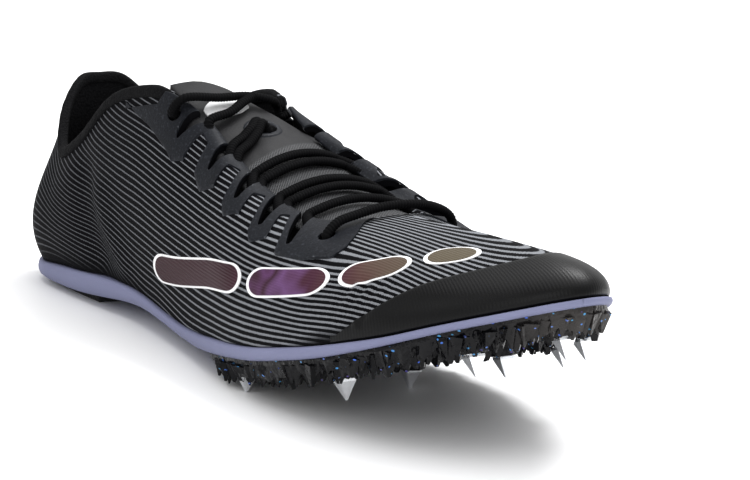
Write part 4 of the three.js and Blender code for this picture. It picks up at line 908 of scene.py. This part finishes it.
# Tongue label
# A plain pale patch of satin film welded across the top of the tongue, with rounded corners.
label_share = np.linspace(-1, 1, 40)[:, None]
label_cross = np.linspace(-1, 1, 60)[None, :]
label_rib = 7.86 + 0.30 * label_share * np.sqrt(1 - 0.5 * label_cross ** 6)
label_across = 0.37 + 0.155 * label_cross * np.sqrt(1 - 0.5 * label_share ** 6)
label_face = tongue_point(label_rib, label_across, -0.35)
label_back = tongue_point(label_rib, label_across, 0.15)[:, ::-1]
label = loft("tongue_label", np.concatenate([label_face, label_back], axis=1))


def grained_finish(name, roughness, scale, detail, dark, light, relief, **values):
    """Material whose colour and height both follow one fine noise."""
    material, tree, shader = finish_of(name, roughness, **values)
    grain = noise(tree, own_place(tree), scale, detail)
    lay(tree, shader, blend_colours(tree, grain, dark, light), bumped(tree, grain, relief))
    return material


paint(label, grained_finish("label_satin", 0.45, 900.0, 3.0, (0.62, 0.62, 0.63, 1.0), (0.80, 0.80, 0.81, 1.0),
                            0.00006))
smooth(label, 50)
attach(label, "root")


# Side bars
# A row of plain rounded bars of colour-shifting film with a white edge, welded along the outer side.
# Their surface keeps the grain of the textile underneath.
bar_path_rib = np.array([5.80, 7.60, 9.00, 10.40, 11.60, 12.90, 14.10, 15.40])
bar_path_along = np.array([0.205, 0.250, 0.290, 0.335, 0.390, 0.465, 0.510, 0.500])
bar_spans = np.array([(6.00, 9.45), (9.66, 11.90), (12.12, 13.72), (13.95, 15.10)])
bar_half = 5.0
rim_width = 0.75
end_stretch = 1.6


def bar_height(ribs):
    """Height share of the bars' path on a rib."""
    return open_value(bar_path_rib, bar_path_along, ribs)


def bar_sections(start, end, half, lift, thickness, steps=90, across=22):
    """Rounded bar along the path on the wall: rings run across the bar on its face and back underneath,
    and their half width follows a stretched circle at both ends. A ring runs along the direction on the
    face that is square to the path, which is found as steps in rib number and height share."""
    line = np.linspace(start, end, 400)
    centre = wall_point(line, bar_height(line), 0.0)
    run = np.concatenate([[0], np.cumsum(np.linalg.norm(np.diff(centre, axis=0), axis=1))])
    place = run[-1] * (1 - np.cos(np.linspace(0, np.pi, steps))) / 2
    from_end = np.minimum(np.minimum(place, run[-1] - place) / (end_stretch * half), 1)
    width = half * np.sqrt(np.maximum(1 - (1 - from_end) ** 2, 0.0004))
    rib_at = np.interp(place, run, line)
    along_at = bar_height(rib_at)
    by_rib = (rib_point(rib_at + 0.05, along_at) - rib_point(rib_at - 0.05, along_at)) / 0.10
    by_along = (rib_point(rib_at, along_at + 0.02) - rib_point(rib_at, along_at - 0.02)) / 0.04
    ahead, behind = (rib_point(rib_at + step, bar_height(rib_at + step)) for step in (0.02, -0.02))
    square = np.cross(rib_normal(rib_at, along_at), ahead - behind)
    square = square / np.linalg.norm(square, axis=-1, keepdims=True)
    rib_size, along_size = ((by * by).sum(-1) for by in (by_rib, by_along))
    shared = (by_rib * by_along).sum(-1)
    rib_part, along_part = ((by * square).sum(-1) for by in (by_rib, by_along))
    room = rib_size * along_size - shared ** 2
    rib_step = (rib_part * along_size - along_part * shared) / room
    along_step = (along_part * rib_size - rib_part * shared) / room
    cross = np.linspace(-1, 1, across)[None, :] * width[:, None]
    stations = rib_at[:, None] + cross * rib_step[:, None]
    along = along_at[:, None] + cross * along_step[:, None]
    outer = wall_point(stations, along, lift + thickness)
    inner = wall_point(stations[:, ::-1], along[:, ::-1], lift)
    along = np.concatenate([along, along[:, ::-1]], axis=1)
    stations = np.concatenate([stations, stations[:, ::-1]], axis=1)
    marks = np.stack([stripe_numbers(stations, along), stations], -1)
    return np.concatenate([outer, inner], axis=1), marks


shift_film, tree, shader = finish_of("shift_film", 0.38, Metallic=0.35, Specular_IOR_Level=0.15)
line_count, station = own_map(tree, "weave")[1:]
drift = swing(tree, noise(tree, own_place(tree), 45.0, 2.0), 3.4)
place_along = ramp(tree, maths(tree, "ADD", station, drift), 6.3, 15.1)
# The colour runs along the bars from dark maroon to bronze, the film's own tint; the paler violet bands at
# 0.43 and 0.54 are painted highlights of the film's sheen.
tint_and_painted_highlights = shade(tree, "ShaderNodeValToRGB", {0: place_along})
tint_and_painted_highlights.color_ramp.elements[0].color = (0.034, 0.007, 0.012, 1.0)
tint_and_painted_highlights.color_ramp.elements[1].color = (0.125, 0.105, 0.075, 1.0)
for position, colour in ((0.22, (0.040, 0.010, 0.018, 1.0)), (0.38, (0.060, 0.014, 0.030, 1.0)),
                         (0.43, (0.130, 0.055, 0.140, 1.0)), (0.47, (0.055, 0.020, 0.035, 1.0)),
                         (0.54, (0.170, 0.085, 0.200, 1.0)), (0.60, (0.080, 0.028, 0.050, 1.0)),
                         (0.76, (0.110, 0.060, 0.055, 1.0))):
    stop = tint_and_painted_highlights.color_ramp.elements.new(position)
    stop.color = colour
lay(tree, shader, tint_and_painted_highlights.outputs[0], bumped(tree, wave(tree, line_count, 0.5), 0.00006, 0.6))
white_film = grained_finish("white_film", 0.40, 1500.0, 2.0, (0.72, 0.72, 0.73, 1.0), (0.84, 0.84, 0.85, 1.0),
                            0.00005)

ribs_per_millimetre = 0.13
for number, (start, end) in enumerate(bar_spans, 1):
    edge_sections = bar_sections(start, end, bar_half, 0.04, 0.30)[0]
    white_bar = loft(f"side_bar_edge_{number}", edge_sections)
    paint(white_bar, white_film)
    inset = ribs_per_millimetre * rim_width
    face_sections, marks = bar_sections(start + inset, end - inset, bar_half - rim_width, 0.20, 0.32)
    film_bar = loft(f"side_bar_{number}", face_sections, weave=marks)
    paint(film_bar, shift_film)
    for bar in (white_bar, film_bar):
        smooth(bar, 60)
        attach(bar, "root")


# Insole
# A flat foam sheet with a black knitted cover, glued on the bottom of the shoe.
sole_ribs = np.linspace(0.02, 15.98, 200)
insole_inset = feather_inset + wall + 0.8


def slab_sections(ribs_line, profile):
    """Rings across the shoe from the outer to the inner edge: each row of the profile gives a share
    across, an inset from the edge and a height function of the place along the shoe."""
    points = []
    for across, inset, height in profile:
        outer = np.stack(edge_point(ribs_line, inset), -1)
        inner = np.stack(edge_point(rib_count - ribs_line, inset), -1)
        plan = outer * (1 - across) + inner * across
        points.append(np.column_stack([plan, height(plan[:, 0])]))
    return np.stack(points, 1)


def over_foam(rise):
    """Height function: a rise over the foam's upper edge."""
    return lambda x: sole_top(x) + rise


insole_profile = [(share, insole_inset, over_foam(0.6)) for share in np.linspace(1, 0, 14)]
insole_profile += [(0.0, insole_inset, over_foam(3.0))]
insole_profile += [(share, insole_inset + 0.8, over_foam(3.6)) for share in np.linspace(0, 1, 14)]
insole_profile += [(1.0, insole_inset, over_foam(3.0))]
insole = loft("insole_sheet", slab_sections(sole_ribs, insole_profile))
paint(insole, looped_finish("insole_cover", 0.9, 900.0, (0.020, 0.020, 0.022, 1.0),
                            (0.009, 0.009, 0.010, 1.0), 0.0003, Specular_IOR_Level=0.10))
smooth(insole, 50)
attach(insole, "root")
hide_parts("insole")


# Midsole
# A thin wedge of lavender-grey moulded foam between the textile and the plate. Its side shows as the
# pale band, slightly rounded, with the fine skin of moulded foam.
# The band's side as inset in millimetres and height as a share of the foam, from below.
band_side = [(1.2, 0.03), (0.45, 0.12), (0.05, 0.30), (-0.12, 0.50), (0.0, 0.72), (0.25, 0.90), (0.8, 0.985)]


def in_foam(share):
    """Height function: a share of the way from the foam's lower edge to its upper one."""
    return lambda x: sole_bottom(x) + share * (sole_top(x) - sole_bottom(x))


foam_profile = [(share, 2.0, sole_bottom) for share in np.linspace(1, 0, 12)]
foam_profile += [(0.0, inset, in_foam(height)) for inset, height in band_side]
foam_profile += [(share, 1.4, sole_top) for share in np.linspace(0, 1, 12)]
foam_profile += [(1.0, inset, in_foam(height)) for inset, height in reversed(band_side)]
midsole = loft("midsole_foam", slab_sections(np.linspace(0.005, 15.995, 360), foam_profile))
foam, tree, shader = finish_of("pale_foam", 0.58, Specular_IOR_Level=0.25)
place = own_place(tree)
skin_tone = blend_colours(tree, noise(tree, place, 35.0, 3.0), (0.178, 0.186, 0.278, 1.0),
                          (0.226, 0.236, 0.345, 1.0))
lay(tree, shader, skin_tone, bumped(tree, noise(tree, place, 1800.0, 3.0), 0.00008))
paint(midsole, foam)
smooth(midsole, 50)
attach(midsole, "root")
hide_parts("midsole")


# Spike plate
# A moulded plate of smoky black plastic with blue and violet flecks, with teeth and a boss for each
# spike. Smaller teeth stand in two rows along both edges, under a side wall with a broken lower edge.
plate_plastic, tree, shader = finish_of("plate_plastic", 0.22, Specular_IOR_Level=0.26)
place = own_place(tree)
smoke = noise(tree, place, 50.0, 3.0)
leaned = shade(tree, "ShaderNodeMapping", {"Vector": place, "Scale": (0.6, 1.0, 1.3),
                                           "Rotation": (0.5, 0.3, 0.2)})
fleck_cells = shade(tree, "ShaderNodeTexVoronoi", {"Vector": leaned.outputs[0], "Scale": 500.0})
fleck = ramp(tree, fleck_cells.outputs["Distance"], 0.16, 0.26, 1.0, 0.0)
cell_parts = shade(tree, "ShaderNodeSeparateColor", {0: fleck_cells.outputs["Color"]})
fleck = maths(tree, "MULTIPLY", fleck, ramp(tree, cell_parts.outputs[0], 0.60, 0.64))
fleck_colours = shade(tree, "ShaderNodeValToRGB", {0: cell_parts.outputs[1]})
fleck_colours.color_ramp.elements[0].color = (0.070, 0.140, 0.560, 1.0)
fleck_colours.color_ramp.elements[1].color = (0.170, 0.110, 0.430, 1.0)
fleck_colours.color_ramp.elements.new(0.5).color = (0.080, 0.320, 0.520, 1.0)
ground = blend_colours(tree, smoke, (0.0015, 0.0015, 0.002, 1.0), (0.007, 0.007, 0.009, 1.0))
# The plate turns a paler grey at the toe, from these places on, in metres.
toe_parts = shade(tree, "ShaderNodeSeparateXYZ", {0: place})
toe_light = ramp(tree, toe_parts.outputs[0], 0.234, 0.252, 0.0, 0.75)
ground = blend_colours(tree, toe_light, ground, (0.060, 0.055, 0.052, 1.0))
lay(tree, shader, blend_colours(tree, fleck, ground, fleck_colours.outputs[0]),
    bumped(tree, noise(tree, place, 380.0, 2.0), 0.0008, 0.8),
    ramp(tree, noise(tree, place, 220.0, 3.0), 0.3, 0.7, 0.12, 0.34))
paint(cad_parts["spike_plate"], plate_plastic)

# Small teeth: four-sided stumps whose root, height, turn and lean are drawn at random.
draw = np.random.default_rng(7)
edge_ribs = np.concatenate([np.linspace(8.25, 15.9, 62), np.linspace(16.1, 23.6, 50)])
tooth_ribs = np.concatenate([edge_ribs, edge_ribs + 0.06])
tooth_count = len(tooth_ribs)
root_sink = 1.6
tip_share = 0.16
tooth_insets = np.repeat([3.6, 8.8], len(edge_ribs)) + draw.uniform(-0.8, 0.8, tooth_count)
tooth_x, tooth_y = edge_point(tooth_ribs + draw.uniform(-0.03, 0.03, tooth_count), tooth_insets)
tooth_root = sole_bottom(tooth_x) - root_sink
tooth_height = np.minimum(draw.uniform(2.4, 6.2, tooth_count), tooth_root - 2.5)
tooth_half = draw.uniform(2.4, 4.2, (tooth_count, 1))
corner_turn = draw.uniform(0, np.pi / 2, (tooth_count, 1)) + np.arange(4)[None, :] * np.pi / 2
root_points = np.stack([
    tooth_x[:, None] + tooth_half * np.cos(corner_turn),
    tooth_y[:, None] + tooth_half * 0.8 * np.sin(corner_turn),
    np.broadcast_to(tooth_root[:, None], corner_turn.shape),
], -1)
root_centre = np.stack([tooth_x, tooth_y, tooth_root], -1)[:, None, :]
tip_points = root_centre + (root_points - root_centre) * tip_share
tip_points[..., :2] += draw.uniform(-0.9, 0.9, (tooth_count, 1, 2))
tip_points[..., 2] -= root_sink + tooth_height[:, None]
tooth_points = np.concatenate([root_points, tip_points], axis=1).reshape(-1, 3)
tooth_faces = np.array([(4, 5, 1, 0), (5, 6, 2, 1), (6, 7, 3, 2), (7, 4, 0, 3), (0, 1, 2, 3), (7, 6, 5, 4)])
all_faces = (np.arange(tooth_count)[:, None, None] * 8 + tooth_faces).reshape(-1, 4)
teeth_mesh = bpy.data.meshes.new("plate_teeth")
teeth_mesh.from_pydata(in_metres(tooth_points).tolist(), [], all_faces.tolist())
teeth = put_in_scene("plate_teeth", teeth_mesh)
paint(teeth, plate_plastic)
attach(teeth, "root")

# Side wall: rings of these insets, shares of the drawn fall below the foam and shares of the drawn bulge.
skirt_profile = ((1.6, 0.0, 0.0), (1.3, 0.25, 0.4), (1.7, 0.55, 1.0), (2.6, 1.0, 0.6), (3.6, 0.95, 0.2),
                 (3.8, 0.5, 0.2), (3.8, 0.0, 0.0))
skirt_start = 8.15
skirt_end = 23.75
skirt_share = np.linspace(0, 1, 620)
skirt_ribs = np.linspace(skirt_start, skirt_end, 620)
point_places = np.unique(draw.uniform(0, 1, 130))
skirt_fall = np.interp(skirt_share, point_places, draw.uniform(3.6, 8.2, len(point_places)))
bulge_places = np.sort(draw.uniform(0, 1, 110))
skirt_bulge = np.interp(skirt_share, bulge_places, draw.uniform(-0.9, 0.9, len(bulge_places)))
skirt_fall = skirt_fall * np.clip(np.minimum(skirt_ribs - skirt_start, skirt_end - skirt_ribs) / 0.8, 0.15, 1)
skirt_rows = []
for inset, fall, bulge in skirt_profile:
    skirt_x, skirt_y = edge_point(skirt_ribs, inset + bulge * skirt_bulge)
    skirt_rows.append(np.column_stack([skirt_x, skirt_y, sole_bottom(skirt_x) + 0.2 - fall * skirt_fall]))
skirt = loft("plate_skirt", np.stack(skirt_rows, 1))
paint(skirt, plate_plastic)
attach(skirt, "root")


# Heel pad
# A thin black rubber pad moulded on the bottom of the heel, with a fine pebbled face.
heel_rubber = looped_finish("heel_rubber", 0.75, 700.0, (0.010, 0.010, 0.011, 1.0),
                            (0.018, 0.018, 0.019, 1.0), 0.0003)
paint(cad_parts["heel_pad"], heel_rubber)


# Spikes
# Bright ground steel points with four flats, screwed into the plate's bosses.
steel, tree, shader = finish_of("spike_steel", 0.28, Metallic=0.90)
ground_marks = noise(tree, stretched(tree, own_place(tree), (1.0, 1.0, 9.0)), 900.0, 2.0)
lay(tree, shader, blend_colours(tree, ground_marks, (0.86, 0.88, 0.91, 1.0), (0.94, 0.95, 0.97, 1.0)),
    bumped(tree, ground_marks, 0.000005), ramp(tree, ground_marks, 0.2, 0.8, 0.18, 0.28))
for name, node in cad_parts.items():
    if name.startswith("spike_") and name != "spike_plate":
        paint(node, steel)


# Lace
# One round knitted black lace with fine cross ribs. Its strands come up through the slots, cross the
# throat and go down on the other side, and two of them pass through the tongue's keeper.
lace_radius = 1.8
rib_pitch = 1.05
rib_bend = 0.9
rings_a_rib = 5


def lace_path(controls, spacing):
    """Smooth path through control points: a cubic between each two with slopes from their neighbours,
    read at even distances."""
    controls = np.asarray(controls, float)
    ends = np.concatenate([[2 * controls[0] - controls[1]], controls, [2 * controls[-1] - controls[-2]]])
    share = np.linspace(0, 1, 60, endpoint=False)[None, :, None]
    curve = between(ends[:-3, None], ends[1:-2, None], ends[2:-1, None], ends[3:, None], share)
    curve = np.concatenate([curve.reshape(-1, 3), controls[-1:]])
    run = np.concatenate([[0], np.cumsum(np.linalg.norm(np.diff(curve, axis=0), axis=1))])
    places = np.linspace(0, run[-1], int(run[-1] / spacing))
    return np.stack([np.interp(places, run, curve[:, k]) for k in range(3)], -1), places


def lace_strand(name, controls):
    """Ribbed cord along a path: rings of an oval section square to the path, whose radius swells once
    for each rib, with the ribs bent back a little on both sides."""
    path, places = lace_path(controls, rib_pitch / rings_a_rib)
    tangent = np.gradient(path, axis=0)
    tangent = tangent / np.linalg.norm(tangent, axis=1, keepdims=True)
    reference = np.cross(path[-1] - path[0], (0.0, 0.0, 1.0))
    side = reference - (tangent @ reference)[:, None] * tangent
    side = side / np.linalg.norm(side, axis=1, keepdims=True)
    over = np.cross(side, tangent)
    angle = np.linspace(0, 2 * np.pi, 18, endpoint=False)[None, :]
    phase = 2 * np.pi * places[:, None] / rib_pitch + rib_bend * np.cos(2 * angle)
    radius = lace_radius * (0.95 + 0.075 * np.cos(phase))
    ring = (radius * np.cos(angle))[..., None] * side[:, None, :] * 1.02
    ring = ring + (radius * np.sin(angle))[..., None] * over[:, None, :] * 0.80
    return loft(name, path[:, None, :] + ring)


lace_yarn = grained_finish("black_lace", 0.78, 3200.0, 2.0, (0.0015, 0.0015, 0.002, 1.0),
                           (0.007, 0.007, 0.008, 1.0), 0.00012, Specular_IOR_Level=0.09)


def crossing(outer_rib, inner_rib, lift):
    """Control points of a strand over the throat: up out of the outer slot, a line from edge to edge
    raised over the tongue's crown, and down into the inner slot."""
    start = rib_point(outer_rib, 1.0)
    end = rib_point(inner_rib, 1.0)
    share = np.array([0.02, 0.13, 0.30, 0.5, 0.70, 0.87, 0.98])[:, None]
    raised = tongue_crown * 4 * share * (1 - share) - tongue_clearance + 0.8 * lace_radius + 0.6
    raised = raised + lift * np.sqrt(share * (1 - share))
    middle = start * (1 - share) + end * share + raised * np.array([[0.0, 0.0, 1.0]])
    first = wall_point(outer_rib, np.array([0.84, 0.93]), np.array([-2.6, -1.0]))
    last = wall_point(inner_rib, np.array([0.93, 0.84]), np.array([-1.0, -2.6]))
    return np.concatenate([first, middle, last])


def through_eyelet(eyelet, distance):
    """Point on an eyelet's axis at a distance outside the wall."""
    return wall_point(*eyelet, 0.0) + distance * rib_normal(*eyelet)


lift = lace_radius + 1.7
outer_top, outer_front = outer_eyelets
inner_top, inner_front = inner_eyelets
# Strands over the throat: rib numbers of both ends, and how far the middle is lifted.
crossings = (("a", 9.76, 21.94, 1.6), ("b", 10.04, 21.66, 1.2), ("c", 10.66, 20.92, 1.6),
             ("d", 10.94, 20.62, 1.2), ("e", 11.66, 19.84, 1.6))
strands = [(f"lace_strand_{letter}", [f"lace_bar_{letter}"], crossing(outer_rib, inner_rib, arch))
           for letter, outer_rib, inner_rib, arch in crossings]
strands += [
    ("lace_strand_front", ["lace_front"], [
        through_eyelet(outer_front, -2.6),
        through_eyelet(outer_front, 0.6),
        wall_point(12.55, 0.850, lift - 0.6),
        wall_point(13.24, 0.930, lift - 0.2),
        wall_point(14.60, 0.985, lift),
        wall_point(16.60, 0.985, lift),
        wall_point(18.40, 0.960, lift),
        wall_point(19.20, 0.880, lift - 0.4),
        through_eyelet(inner_front, 0.6),
        through_eyelet(inner_front, -2.6),
    ]),
    ("lace_strand_top", ["lace_top"], [
        through_eyelet(outer_top, -2.6),
        through_eyelet(outer_top, 1.6),
        wall_point(7.40, 0.990, lift),
        tongue_point(7.70, 0.32, -lift),
        tongue_point(7.85, 0.50, -lift),
        tongue_point(8.00, 0.68, -lift),
        wall_point(24.75, 0.985, -wall - lace_radius),
        through_eyelet(inner_top, -3.6),
        through_eyelet(inner_top, 1.4),
    ]),
    ("lace_strand_slot", [], [
        wall_point(8.06, 0.90, -1.0),
        wall_point(8.08, 0.97, 1.4),
        tongue_point(8.20, 0.30, -lift),
        tongue_point(8.10, 0.42, -lift - 0.4),
        tongue_point(7.94, 0.54, -lift - 0.8),
    ]),
]
for part, shift, nodes in (("rear", -1, []), ("front", 1, ["lace_keeper"])):
    strands.append((f"lace_strand_keeper_{part}", nodes, [
        wall_point(9.02 + shift * 0.12, 0.92, -0.8),
        wall_point(9.02 + shift * 0.12, 0.99, 1.6),
        tongue_point(9.00 + shift * 0.11, 0.28, -lace_radius - 1.0),
        tongue_point(8.90 + shift * 0.10, 0.38, -lace_radius - 1.2),
        keeper_centre + np.array([shift * 1.5, -1.5, lace_radius + 0.6]),
        keeper_centre + np.array([shift * 1.5, 1.2, -1.0]),
    ]))
for name, nodes, controls in strands:
    strand = lace_strand(name, controls)
    paint(strand, lace_yarn)
    smooth(strand, 80)
    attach(strand, "root")
    if nodes:
        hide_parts(*nodes)
